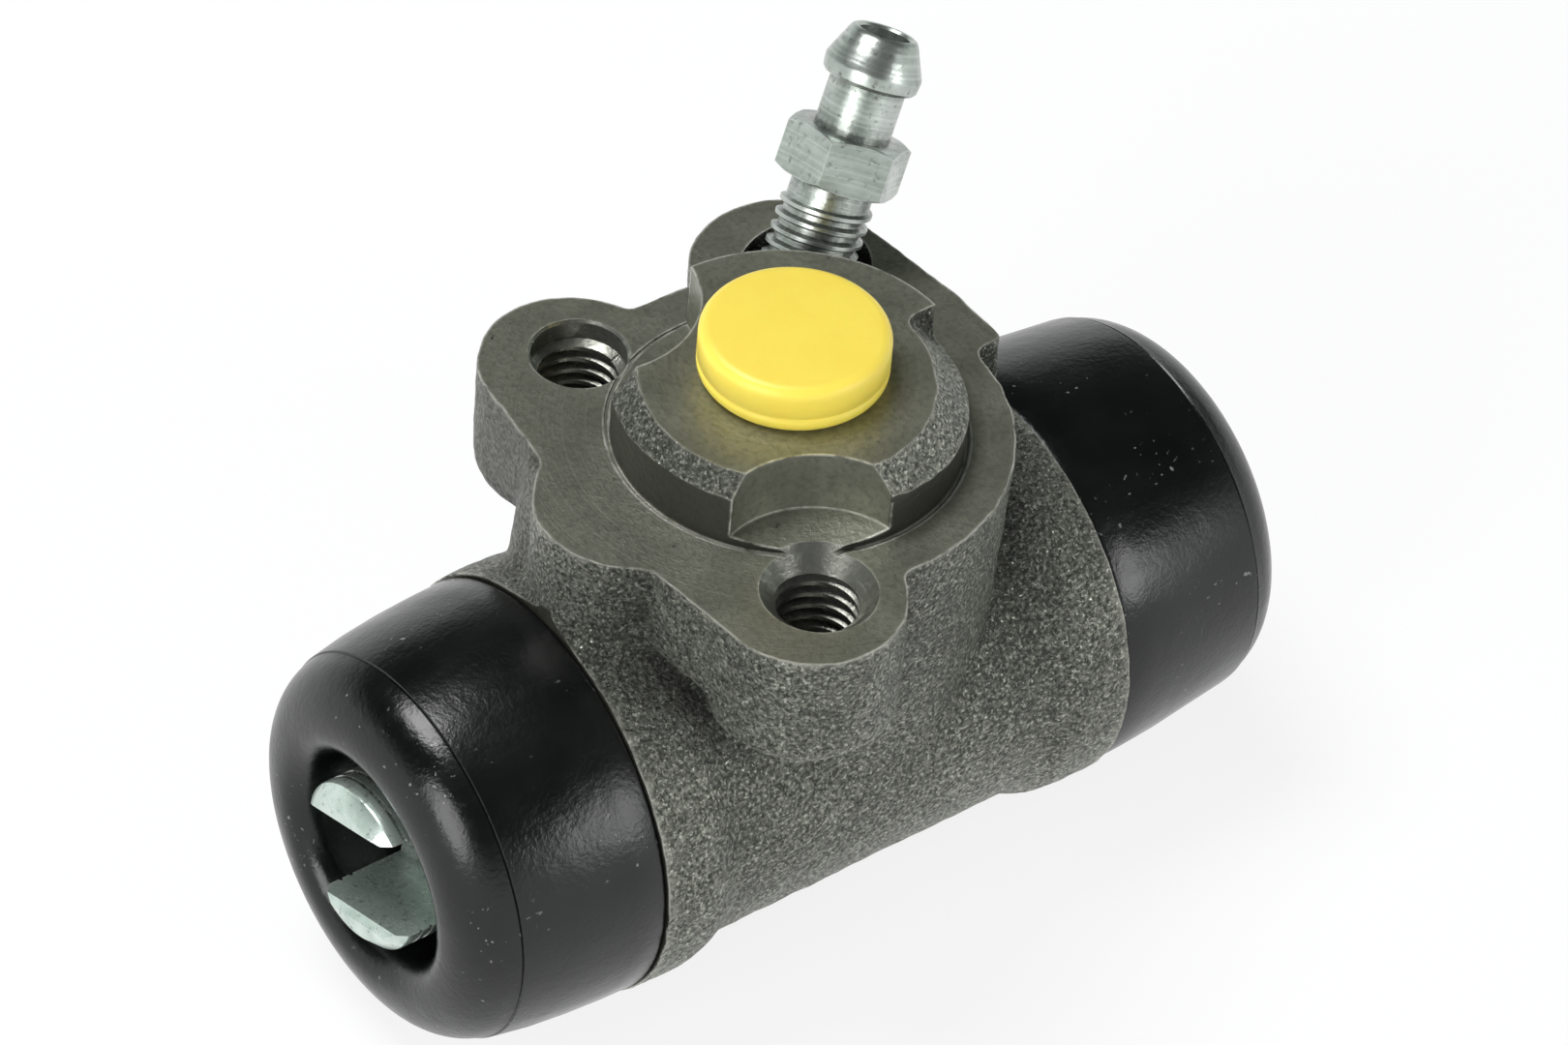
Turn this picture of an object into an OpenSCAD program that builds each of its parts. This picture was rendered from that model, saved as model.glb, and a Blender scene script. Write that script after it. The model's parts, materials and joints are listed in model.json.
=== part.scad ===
// Drum brake wheel cylinder: a cast body with a mounting flange and two opposed pistons under rubber boots.
// Millimetres. The origin is the middle of the spigot on the mounting face.
// +Z points out of that face and +X runs along the bore.

/* [Barrel] */
// Depth of the bore axis below the mounting face
axis_drop = 27.5; // [26:0.1:30]
// Offset of the bore axis across the spigot
axis_side = -0.35; // [-0.6:0.05:0.6]
// Bore diameter
bore_d = 22.2; // [18:0.1:24]
// Barrel diameter between the end collars
barrel_d = 34.8; // [34:0.1:38]
// Diameter of the end collars
collar_d = 37.3; // [36:0.1:40]
// Width of each end collar
collar_w = 5.6; // [4:0.1:8]
// Length over the two collars
body_len = 47.2; // [46:0.1:56]
// Diameter of the necks that carry the boots
neck_d = 30; // [29:0.1:32]
// Length of each neck
neck_len = 6.4; // [5.6:0.1:8]
// Depth of the boot groove in each neck
boot_groove_depth = 1.2; // [0.6:0.1:1.6]
// Width of the boot groove in each neck
boot_groove_w = 2.6; // [2:0.1:3.2]

/* [Flange] */
// Radius of the round middle of the flange
flange_r = 18.7; // [18:0.1:20]
// Thickness of the flange and its lobes
flange_t = 11.6; // [10:0.1:13]
// Radius of the lobe round each bolt hole
lobe_r = 8; // [7.5:0.1:9]
// Offset of both lobes from their bolt holes, towards the left boot
lobe_back = 0.95; // [0:0.05:1.5]
// Offset of the left lobe from its bolt hole, towards the middle
lobe_in = 0.6; // [0:0.05:1]
// Reach of the flange's left edge beside the tongue
edge_reach = 18.9; // [18:0.1:19.5]
// Distance between the two bolt holes
bolt_spacing = 33; // [31:0.1:36]
// Distance of the bolt holes from the middle, towards the left boot
bolt_offset = 9; // [7:0.1:11]
// Radius of the bleed lobe
bleed_lobe_r = 8.5; // [7.5:0.1:9]
// Offset of the bleed lobe from its screw, along the bore
bleed_lobe_x = -1; // [-1.5:0.1:0]
// Offset of the bleed lobe from its screw, across the bore
bleed_lobe_y = 0.7; // [0:0.1:1.2]
// Reach of the bleed lobe's straight side towards the right boot
block_reach = 21.7; // [21:0.1:22.5]
// Length of that straight side before it tapers into the lobe
block_straight = 6; // [2:0.1:10]
// Radius of the tongue over the left collar
tongue_r = 8; // [7:0.1:9]
// Reach of the tongue towards the left boot
tongue_reach = 23.6; // [22:0.1:23.6]
// Radius of the foot of the web beside the tongue
web_r = 7.5; // [6:0.1:8.5]
// Radius of that web's top
web_top_r = 5; // [4:0.1:6]
// Offset of the web from the tongue, across the bore
web_side = 6; // [4:0.1:7]
// Radius of the cast edge under each lobe
cast_round = 3; // [1:0.1:4]
// Radius of the hollow between the left lobe and the bleed lobe
hollow_r = 7.5; // [6:0.1:9]
// Radius of the hollow between the front lobe and the round of the flange
front_hollow_r = 4; // [2:0.1:6]
// Place of the bleed lobe's front corner, across the bore
block_front = -0.6; // [-3:0.1:1]
// Draft of the cast column under the flange, in degrees
column_draft = 3; // [1:0.5:4]

/* [Spigot] */
// Diameter of the turned spigot
spigot_d = 29; // [27:0.1:30]
// Height of the boss top above the mounting face
boss_h = 6.6; // [5.5:0.1:7.5]
// Chamfer round the boss top where the turned wall is full
boss_edge = 0.5; // [0.2:0.1:0.8]
// Diameter of the boss top inside the cast bevel
boss_top_d = 24.4; // [22:0.1:26]
// Fall of the cast bevel for each millimetre outwards
bevel_fall = 1.25; // [1:0.05:1.5]
// Offset of the cast bevel from the spigot, along the bore
bevel_x = -0.9; // [-1.2:0.1:0]
// Offset of the cast bevel from the spigot, across the bore
bevel_y = -0.5; // [-1:0.1:0]
// Angle at which the cast bevel starts, from +X
bevel_start = 120; // [100:1:140]
// Angle that the cast bevel covers
bevel_sweep = 236; // [200:1:245]
// Radius of the spot face cut round the left bolt hole
spot_left_r = 9.6; // [9:0.1:10]
// Radius of the spot face cut round the front bolt hole
spot_front_r = 8.7; // [8.2:0.1:9.4]
// Height of the spot face floors above the mounting face
spot_floor = 0.25; // [0.1:0.05:0.5]
// Rise of the front spot face from its hole to its wall
spot_dish = 0.6; // [0.2:0.1:1]
// Width of the undercut round the spigot's foot
undercut_w = 0.6; // [0.3:0.1:1]
// Depth of that undercut
undercut_depth = 0.35; // [0.2:0.05:0.6]

/* [Ports] */
// Outside diameter of the bolt hole threads
bolt_d = 8; // [6:0.1:9]
// Metal left under the drill point of each bolt hole
bolt_floor = 0.8; // [0.4:0.1:2]
// Countersink diameter of the left bolt hole
sink_left_d = 8.4; // [8.2:0.1:10]
// Countersink diameter of the front bolt hole
sink_front_d = 9.6; // [9.2:0.1:10.5]
// Outside diameter of the inlet thread
inlet_d = 10; // [8:0.1:11]
// Depth of the inlet thread below the boss top
inlet_depth = 12; // [10:0.1:13]
// Diameter of the fluid passages into the bore
passage_d = 2.6; // [1.5:0.1:3.2]

/* [Bleed screw] */
// Place of the bleed screw's axis on the mounting face, along the bore
bleed_x = 13; // [12:0.1:14]
// Place of the bleed screw's axis on the mounting face, across the bore
bleed_y = 15.2; // [14:0.1:16]
// Lean of the bleed screw from upright
bleed_tilt = 31; // [28:0.5:33]
// Direction of that lean, from +X
bleed_turn = 23; // [20:0.5:27]
// Outside diameter of the bleed thread
bleed_d = 8; // [7:0.1:8.6]
// Depth of the bleed thread below the mounting face
bleed_depth = 13; // [12:0.1:14]
// Diameter of the counterbore round the bleed screw
bleed_counter_d = 10.6; // [10:0.1:11]
// Depth of that counterbore
bleed_counter_depth = 2.2; // [1:0.1:3]
// Clearance round the bleed screw
bleed_gap = 0.1; // [0.06:0.01:0.2]
// Height of the thread's end above the mounting face
bleed_thread_top = 5.4; // [4:0.1:6.5]
// Diameter of the plain collar under the hexagon
bleed_collar_d = 7; // [6:0.1:7.6]
// Height of the hexagon's foot above the mounting face
hex_foot = 7.7; // [7:0.1:9]
// Height of the hexagon
hex_h = 4.4; // [3.5:0.1:6]
// Width of the hexagon across its flats
hex_flats = 9.5; // [8.6:0.1:11]
// Turn of the hexagon about the screw
hex_turn = 8; // [0:1:60]
// Diameter of the nipple's waist
waist_d = 6.5; // [5.5:0.1:7]
// Length of the nipple's waist
waist_len = 4.5; // [3:0.1:6]
// Diameter of the nipple's barb
barb_d = 8.3; // [7.6:0.1:9]
// Length of the barb
barb_len = 4.4; // [3.6:0.1:6]
// Diameter of the nipple's end
tip_d = 5.4; // [4.6:0.1:6]
// Diameter of the hole through the nipple
nipple_bore_d = 3; // [2:0.1:3.2]
// Diameter of that hole's mouth
nipple_mouth_d = 4.4; // [3.6:0.1:4.6]

/* [Pistons] */
// Distance of the pistons' inner faces from the middle of the stack
piston_in = 15; // [14:0.1:18]
// Length of each piston's guided skirt
piston_skirt = 14; // [12:0.1:15]
// Length of each piston's nose
piston_nose = 14.2; // [13:0.1:16]
// Diameter of the nose
nose_d = 14.8; // [13:0.1:16]
// Chamfer at the end of the nose
nose_chamfer = 1.3; // [0.6:0.1:1.8]
// Width of the slot for the brake shoe
slot_w = 8.4; // [6:0.1:9]
// Depth of the slot
slot_depth = 9; // [6:0.1:10]
// Turn of the slot about the bore
slot_turn = 19; // [0:1:60]
// Radial clearance of the pistons in the bore
piston_gap = 0.05; // [0.02:0.01:0.1]
// Offset of the floating stack of pistons from the middle of the body
stack_shift = 0.9; // [0:0.1:1.5]

/* [Seals and spring] */
// Length of each cup seal
cup_len = 6.6; // [5:0.1:8]
// Thickness of a cup seal's base
cup_base = 2.8; // [2:0.1:3.4]
// Thickness of the cup expanders' sheet
expander_t = 0.8; // [0.5:0.1:1.2]
// Wire diameter of the return spring
wire_d = 1.3; // [1:0.1:1.6]
// Mean diameter of the return spring's coils
coil_d = 12; // [9:0.1:13]
// Number of turns of the return spring
coil_turns = 6; // [4:1:8]

/* [Boots] */
// Thickness of a boot's wall on the neck
boot_wall = 3.3; // [2.6:0.05:4]
// Fall of a boot's outside from its rim to the parting line
boot_fall = 1.25; // [0.6:0.05:1.6]
// Radius of the boot's rolled front
boot_round = 5.4; // [4.6:0.1:6]
// Distance of the boot's front behind the end of the nose
boot_set_back = 1.2; // [0:0.1:3]
// Diameter of the opening in the boot's front
boot_open_d = 18.6; // [17.4:0.1:19.4]
// Thickness of the boot's rolled front and inner sleeve
boot_front_t = 1.9; // [1.4:0.1:2.2]
// Width of the lip that grips the nose
boot_lip_w = 1.8; // [1.2:0.1:2.4]
// Depth of the lip's groove in the nose
lip_depth = 1; // [0.5:0.1:1.4]
// Clearance between rubber and metal
rubber_gap = 0.1; // [0.05:0.01:0.15]

/* [Transit plug] */
// Diameter of the plug's head
plug_d = 15.7; // [14:0.1:17]
// Height of the plug's head
plug_h = 4.6; // [4:0.1:7]
// Length of the plug's shank in the inlet
plug_shank = 7; // [5:0.1:9]
// Radius of the plug's rounded edges
plug_round = 1; // [0.4:0.1:1.2]
// Clearance of the plug's shank in the inlet
plug_gap = 0.1; // [0.05:0.01:0.2]

/* [Hidden] */
$fn = 96;

// Overlap that joins or clears cast shapes without leaving a skin
eps = 0.5;
// Half of the cast length over the collars
half_len = body_len / 2;
// Distance of the bore's mouths from the middle
mouth_x = half_len + neck_len;
// Distance of the boot grooves from the middle
groove_x = half_len + (neck_len - boot_groove_w) / 2;
// Depth of a drill point for each unit of its radius
drill_point = 0.6;
// Depth of the bolt holes' threads below the mounting face
bolt_depth = flange_t - bolt_floor - drill_point * bolt_d / 2;
// Middles of the bolt holes: left, then front
bolt_left = [-bolt_offset, bolt_spacing / 2];
bolt_front = [-bolt_offset, -bolt_spacing / 2];
// Middles of the lobes: left, front and bleed
lobe_left = bolt_left - [lobe_back, lobe_in];
lobe_front = bolt_front - [lobe_back, 0];
bleed_lobe = [bleed_x + bleed_lobe_x, bleed_y + bleed_lobe_y];
// Middle of the tongue over the left collar
tongue = [tongue_r - tongue_reach, 0];
// Middle of the web between the tongue and the left lobe
web = tongue + [1, web_side];
// Plan of the straight side of the bleed lobe
block_plan = [[0, block_front], [block_reach, block_front], [block_reach, block_front + block_straight],
              [bleed_lobe[0] + bleed_lobe_r, bleed_lobe[1]], [0, bleed_lobe[1]]];
// Ends of the moving stack, measured from its own middle
shoulder_x = piston_in + piston_skirt;
nose_x = shoulder_x + piston_nose;
// Radii that the fits share
piston_r = bore_d / 2 - piston_gap;
nose_r = nose_d / 2;
lip_r = nose_r - lip_depth;
boot_rim_r = neck_d / 2 + boot_wall;
boot_part_r = boot_rim_r - boot_fall;
// Place of the lip on the nose, just outside the shoulder
lip_x = shoulder_x + 2;
// Inside of the expander's base, where the spring ends
spring_half = piston_in - cup_base - expander_t;

// Points on an arc of radius r about [x, y], from angle a to angle b
function arc(x, y, r, a, b, steps = 8) =
    [for (i = [0:steps]) let (t = a + (b - a) * i / steps) [x + r * cos(t), y + r * sin(t)]];

// Middle of a fillet of radius f that touches two circles from outside, on the left of the line p to q
function fillet_middle(p, rp, q, rq, f) =
    let (d = norm(q - p), a = (d * d + (rp + f) * (rp + f) - (rq + f) * (rq + f)) / (2 * d),
         h = sqrt((rp + f) * (rp + f) - a * a), u = (q - p) / d)
    p + a * u + h * [-u[1], u[0]];

// Turns a section of [radius, distance along the bore] about the bore
module turned() {
    translate([0, axis_side, -axis_drop]) rotate([0, 90, 0]) rotate_extrude() children();
}

// Places a piece that is drawn for the right end at the left (-1) or the right (1) end
module at_end(side) {
    mirror([side < 0 ? 1 : 0, 0, 0]) children();
}

// Places a piece that is drawn upright on the bleed screw's axis
module on_bleed_axis() {
    translate([bleed_x, bleed_y, 0]) rotate([0, 0, bleed_turn]) rotate([0, bleed_tilt, 0]) children();
}

// Fills the corner between two round shapes with a hollow of radius f
module fillet(p, rp, q, rq, f) {
    m = fillet_middle(p, rp, q, rq, f);
    difference() {
        polygon([p, m, q]);
        translate(m) circle(f);
    }
}

// Outline of the mounting flange
module flange_outline() {
    circle(flange_r);
    for (p = [lobe_left, lobe_front]) translate(p) circle(lobe_r);
    polygon([lobe_left - [lobe_r, 0], [-edge_reach, tongue_r], [-edge_reach, -tongue_r],
             lobe_front - [lobe_r, 0], [0, lobe_front[1]], [0, lobe_left[1]]]);
    translate(tongue) circle(tongue_r);
    translate(bleed_lobe) circle(bleed_lobe_r);
    polygon(block_plan);
    fillet(bleed_lobe, bleed_lobe_r, lobe_left, lobe_r, hollow_r);
    fillet(lobe_front, lobe_r, [0, 0], flange_r, front_hollow_r);
}

// Turned lobe with a rounded lower edge
module lobe(p, r) {
    translate(p) rotate_extrude()
        polygon(concat([[0, 0], [r, 0]], arc(r - cast_round, cast_round - flange_t, cast_round, 0, -90),
                       [[0, -flange_t]]));
}

// One half of the barrel's section
function barrel_half() = let (barrel_r = barrel_d / 2, collar_r = collar_d / 2, neck_r = neck_d / 2) [
    [barrel_r, half_len - collar_w - 1.6],
    [collar_r - 0.4, half_len - collar_w],
    [collar_r, half_len - collar_w + 1.2],
    [collar_r, half_len - 0.5],
    [collar_r - 0.5, half_len],
    [neck_r, half_len],
    [neck_r, groove_x],
    [neck_r - boot_groove_depth, groove_x],
    [neck_r - boot_groove_depth, groove_x + boot_groove_w],
    [neck_r, groove_x + boot_groove_w],
    [neck_r, mouth_x - 0.8],
    [neck_r - 0.8, mouth_x],
    [0, mouth_x]];

// The casting before any machining
module casting() {
    right = barrel_half();
    last = len(right) - 1;
    left = [for (i = [last:-1:0]) [right[i][0], -right[i][1]]];
    turned() polygon(concat(left, right));
    // Column between the flange and the barrel
    translate([0, 0, -axis_drop])
        cylinder(r1 = flange_r - axis_drop * tan(column_draft), r2 = flange_r, h = axis_drop);
    translate([0, 0, cast_round - flange_t]) linear_extrude(flange_t - cast_round) flange_outline();
    lobe(lobe_left, lobe_r);
    lobe(lobe_front, lobe_r);
    lobe(bleed_lobe, bleed_lobe_r);
    // Webs under the tongue and beside it, and the block that carries the bleed drilling
    translate([tongue[0], tongue[1], -axis_drop]) cylinder(r = tongue_r, h = axis_drop - eps);
    translate([web[0], web[1], -axis_drop]) cylinder(r1 = web_r, r2 = web_top_r, h = axis_drop - eps);
    translate([0, 0, -axis_drop]) linear_extrude(axis_drop - eps) polygon(block_plan);
    on_bleed_axis() translate([0, 0, -bleed_depth - 6]) cylinder(r = bleed_d / 2 + 3, h = bleed_depth + 2);
}

// Boss that centres the cylinder, with its cast bevel and the spot faces of the two bolt holes
module boss() {
    r = spigot_d / 2;
    top_r = boss_top_d / 2;
    reach = r - top_r + 1.5;
    difference() {
        rotate_extrude() polygon([[0, -eps], [r, -eps], [r, boss_h - boss_edge], [r - boss_edge, boss_h],
                                  [0, boss_h]]);
        translate([bevel_x, bevel_y, boss_h]) rotate([0, 0, bevel_start]) rotate_extrude(angle = bevel_sweep)
            polygon([[top_r - 1 / bevel_fall, 1], [top_r + reach, -bevel_fall * reach], [top_r + reach, 1]]);
        for (s = [[bolt_left, spot_left_r, 0], [bolt_front, spot_front_r, spot_dish]])
            translate([s[0][0], s[0][1], spot_floor]) rotate_extrude()
                polygon([[0, 0], [bolt_d / 2, 0], [s[1], s[2]], [s[1], boss_h], [0, boss_h]]);
    }
}

// Everything that is drilled, bored or turned away
module machining() {
    // Bore with chamfered mouths
    turned() polygon([[0, -mouth_x - 1], [bore_d / 2 + 1.6, -mouth_x - 1], [bore_d / 2, 0.6 - mouth_x],
                      [bore_d / 2, mouth_x - 0.6], [bore_d / 2 + 1.6, mouth_x + 1], [0, mouth_x + 1]]);
    // Undercut at the spigot's foot
    translate([0, 0, -undercut_depth]) difference() {
        cylinder(d = spigot_d + 2 * undercut_w, h = undercut_depth);
        translate([0, 0, -1]) cylinder(d = spigot_d, h = undercut_depth + 2);
    }
    // Blind bolt holes with drill points, and countersinks that run on above the mounting face
    for (h = [[bolt_left, sink_left_d], [bolt_front, sink_front_d]]) translate([h[0][0], h[0][1], 0])
        rotate([180, 0, 0]) rotate_extrude()
            polygon([[0, -boss_h - 1], [h[1] / 2 + 1, -boss_h - 1], [h[1] / 2 + 1, -1],
                     [bolt_d / 2, (h[1] - bolt_d) / 2], [bolt_d / 2, bolt_depth],
                     [0, bolt_depth + drill_point * bolt_d / 2]]);
    // Inlet, its drill point and the passage to the bore
    translate([0, 0, boss_h]) rotate([180, 0, 0]) rotate_extrude()
        polygon([[0, -1], [inlet_d / 2 + 1.4, -1], [inlet_d / 2, 0.4], [inlet_d / 2, inlet_depth],
                 [passage_d / 2, inlet_depth + drill_point * (inlet_d - passage_d) / 2],
                 [passage_d / 2, boss_h + axis_drop - bore_d / 4], [0, boss_h + axis_drop - bore_d / 4]]);
    // Bleed drilling with its seat
    on_bleed_axis() rotate([180, 0, 0]) rotate_extrude()
        polygon([[0, -8], [bleed_counter_d / 2, -8], [bleed_counter_d / 2, bleed_counter_depth],
                 [bleed_d / 2, bleed_counter_depth + 0.8], [bleed_d / 2, bleed_depth],
                 [passage_d / 2, bleed_depth + bleed_d / 2 - passage_d / 2],
                 [passage_d / 2, axis_drop / cos(bleed_tilt)], [0, axis_drop / cos(bleed_tilt)]]);
}

module cylinder_body() {
    color([0.27, 0.27, 0.25]) difference() {
        union() {
            casting();
            boss();
        }
        machining();
    }
}

// Piston with a slotted nose, drawn for the right end about the middle of the stack
module piston() {
    r = piston_r;
    relief = 0.35;
    difference() {
        turned() polygon([
            [0, piston_in], [r - 0.6, piston_in], [r, piston_in + 0.6],
            [r, piston_in + piston_skirt * 0.35], [r - relief, piston_in + piston_skirt * 0.38],
            [r - relief, piston_in + piston_skirt * 0.62], [r, piston_in + piston_skirt * 0.65],
            [r, shoulder_x - 1], [r - 1, shoulder_x], [nose_r, shoulder_x],
            [nose_r, lip_x - rubber_gap], [lip_r, lip_x - rubber_gap],
            [lip_r, lip_x + boot_lip_w + rubber_gap], [nose_r, lip_x + boot_lip_w + rubber_gap],
            [nose_r, nose_x - nose_chamfer], [nose_r - nose_chamfer, nose_x], [0, nose_x]]);
        // Two fine grooves behind the chamfer
        for (back = [2.6, 3.6]) turned() translate([nose_r - 0.25, nose_x - back]) square([1, 0.35]);
        // Slot for the brake shoe
        translate([nose_x - slot_depth, axis_side, -axis_drop]) rotate([-slot_turn, 0, 0])
            translate([0, -nose_d, -slot_w / 2]) cube([slot_depth + 1, 2 * nose_d, slot_w]);
    }
}

module piston_left() {
    color([0.72, 0.74, 0.7]) translate([stack_shift, 0, 0]) at_end(-1) piston();
}

module piston_right() {
    color([0.72, 0.74, 0.7]) translate([stack_shift, 0, 0]) at_end(1) piston();
}

// Cup seal with its lip towards the fluid
module cup_seal() {
    r = piston_r;
    turned() polygon([[0, piston_in], [r - 0.5, piston_in], [r, piston_in - 0.6],
                      [r, piston_in - cup_len + 0.6], [r - 0.5, piston_in - cup_len],
                      [r - 1.4, piston_in - cup_len + 0.4], [r - 2.6, piston_in - cup_base],
                      [0, piston_in - cup_base]]);
}

module cup_seal_left() {
    color([0.1, 0.1, 0.1]) translate([stack_shift, 0, 0]) at_end(-1) cup_seal();
}

module cup_seal_right() {
    color([0.1, 0.1, 0.1]) translate([stack_shift, 0, 0]) at_end(1) cup_seal();
}

// Pressed dish that spreads the cup's lip and seats the spring
module cup_expander() {
    base = piston_in - cup_base;
    rim = piston_in - cup_len + 1.1;
    r = piston_r - 2.8;
    flare = r + 1.2 * (base - rim) / (cup_len - cup_base - 0.4);
    turned() polygon([[0, base], [r, base], [flare, rim], [flare - expander_t, rim],
                      [r - expander_t, base - expander_t], [0, base - expander_t]]);
}

module cup_expander_left() {
    color([0.6, 0.6, 0.58]) translate([stack_shift, 0, 0]) at_end(-1) cup_expander();
}

module cup_expander_right() {
    color([0.6, 0.6, 0.58]) translate([stack_shift, 0, 0]) at_end(1) cup_expander();
}

// Round wire swept along a helix between the two expanders
module return_spring() {
    steps = coil_turns * 24;
    sides = 8;
    reach = spring_half - wire_d / 2;
    points = [for (i = [0:steps], j = [0:sides - 1])
        let (t = i * 360 * coil_turns / steps, s = j * 360 / sides, r = (coil_d + wire_d * cos(s)) / 2)
        [stack_shift - reach + 2 * reach * i / steps + wire_d * sin(s) / 2,
         r * cos(t) + axis_side, r * sin(t) - axis_drop]];
    skin = [for (i = [0:steps - 1], j = [0:sides - 1]) let (k = (j + 1) % sides)
        [i * sides + j, (i + 1) * sides + j, (i + 1) * sides + k, i * sides + k]];
    first = [for (j = [0:sides - 1]) j];
    last = [for (j = [sides - 1:-1:0]) steps * sides + j];
    color([0.55, 0.56, 0.55]) polyhedron(points, concat(skin, [first, last]));
}

// Section of a boot whose front stands at the given distance: a rim on the neck, a tapering wall,
// a rolled front and a sleeve that turns back to its lip on the nose
module boot_section(front, lip) {
    neck_r = neck_d / 2 + rubber_gap;
    rim_x = half_len + rubber_gap;
    roll_x = front - boot_round;
    roll_r = boot_part_r - boot_round;
    open_r = boot_open_d / 2;
    lip_round = roll_r - open_r;
    sleeve_r = open_r + boot_front_t;
    inner_r = boot_part_r - boot_front_t - 0.4;
    polygon(concat(
        [[neck_r, rim_x], [boot_rim_r - 0.4, rim_x], [boot_rim_r, rim_x + 0.4]],
        arc(roll_r, roll_x, boot_round, 0, 90, 12),
        arc(roll_r, front - lip_round, lip_round, 90, 180),
        [[open_r, lip + boot_lip_w], [lip_r + rubber_gap, lip + boot_lip_w], [lip_r + rubber_gap, lip],
         [sleeve_r - 0.6, lip], [sleeve_r, lip + 0.6]],
        [[sleeve_r, front - boot_front_t - 1.2], [sleeve_r + 0.8, front - boot_front_t - 0.4],
         [inner_r - 2, front - boot_front_t - 0.6], [inner_r, roll_x + 0.6], [neck_r, mouth_x + 0.8]],
        [[neck_r, groove_x + boot_groove_w - rubber_gap],
         [neck_r - boot_groove_depth, groove_x + boot_groove_w - rubber_gap],
         [neck_r - boot_groove_depth, groove_x + rubber_gap], [neck_r, groove_x + rubber_gap]]));
}

module dust_boot_left() {
    color([0.07, 0.07, 0.07]) at_end(-1) turned()
        boot_section(nose_x - boot_set_back - stack_shift, lip_x - stack_shift);
}

module dust_boot_right() {
    color([0.07, 0.07, 0.07]) at_end(1) turned()
        boot_section(nose_x - boot_set_back + stack_shift, lip_x + stack_shift);
}

// Bleed screw: a seat cone, a shank, a hexagon and a barbed nipple, drilled from the nipple to the seat
module bleeder_screw() {
    r = bleed_d / 2 - bleed_gap;
    seat_r = passage_d / 2;
    seat = bleed_gap - bleed_depth;
    hex_top = hex_foot + hex_h;
    barb = hex_top + waist_len;
    tip = barb + barb_len;
    corner_r = hex_flats / sqrt(3);
    color([0.78, 0.78, 0.75]) on_bleed_axis() difference() {
        union() {
            rotate_extrude() polygon([
                [0, seat - r + seat_r], [seat_r, seat - r + seat_r], [r - 1, seat - 1], [r - 1, seat + 2],
                [r, seat + 3], [r, bleed_thread_top - 0.6], [r - 0.6, bleed_thread_top],
                [bleed_collar_d / 2, bleed_thread_top], [bleed_collar_d / 2, hex_foot + 0.5],
                [waist_d / 2, hex_foot + 0.5], [waist_d / 2, barb], [barb_d / 2 - 0.25, barb],
                [barb_d / 2, barb + 1.3], [tip_d / 2 + 0.3, tip - 0.5], [tip_d / 2 - 0.2, tip], [0, tip]]);
            // Hexagon with turned corners
            translate([0, 0, hex_foot]) intersection() {
                rotate([0, 0, hex_turn]) cylinder(r = corner_r, h = hex_h, $fn = 6);
                rotate_extrude() polygon([
                    [0, 0], [corner_r - 0.5, 0], [corner_r + 0.05, 0.35], [corner_r + 0.05, hex_h - 0.35],
                    [corner_r - 0.5, hex_h], [0, hex_h]]);
            }
        }
        // Drilling with a wider mouth
        rotate_extrude() polygon([
            [0, seat + 1.4], [nipple_bore_d / 2, seat + 1.4], [nipple_bore_d / 2, tip - 3.4],
            [nipple_mouth_d / 2, tip - 2.4], [nipple_mouth_d / 2, tip + 1], [0, tip + 1]]);
        // Cross hole that meets the drilling above the seat
        translate([0, 0, seat + 1.6]) rotate([90, 0, 0]) cylinder(d = 1.6, h = 2 * bleed_d, center = true);
    }
}

// Plastic plug that closes the inlet in transit
module inlet_plug() {
    head_r = plug_d / 2;
    shank_r = inlet_d / 2 - plug_gap;
    round = plug_round;
    color([0.98, 0.8, 0.14]) translate([0, 0, boss_h]) rotate_extrude()
        polygon(concat(
            [[0, -plug_shank], [shank_r - 0.8, -plug_shank], [shank_r, 0.8 - plug_shank], [shank_r, 0]],
            arc(head_r - round, round, round, -90, 0),
            [[head_r, 1.3], [head_r - 0.2, 1.4], [head_r - 0.2, 1.6], [head_r, 1.7]],
            arc(head_r - round, plug_h - round, round, 0, 90),
            [[0, plug_h]]));
}

cylinder_body();
piston_left();
piston_right();
cup_seal_left();
cup_seal_right();
cup_expander_left();
cup_expander_right();
return_spring();
dust_boot_left();
dust_boot_right();
bleeder_screw();
inlet_plug();
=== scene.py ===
# %% [markdown]
# # A drum brake wheel cylinder
# Two pistons push the brake shoes apart when fluid comes in behind them.
# The iron body is cast and then machined, rubber boots keep dust off the pistons,
# a bleed screw lets air out, and a yellow plug closes the inlet until the part is fitted.
# The CAD model is the fixed frame. It gives the axes, the mounts and the outer box,
# and this lesson dresses it at the same sizes.

# %% Load the frame
import json
import math
import bpy
from mathutils import Matrix, Vector


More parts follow.
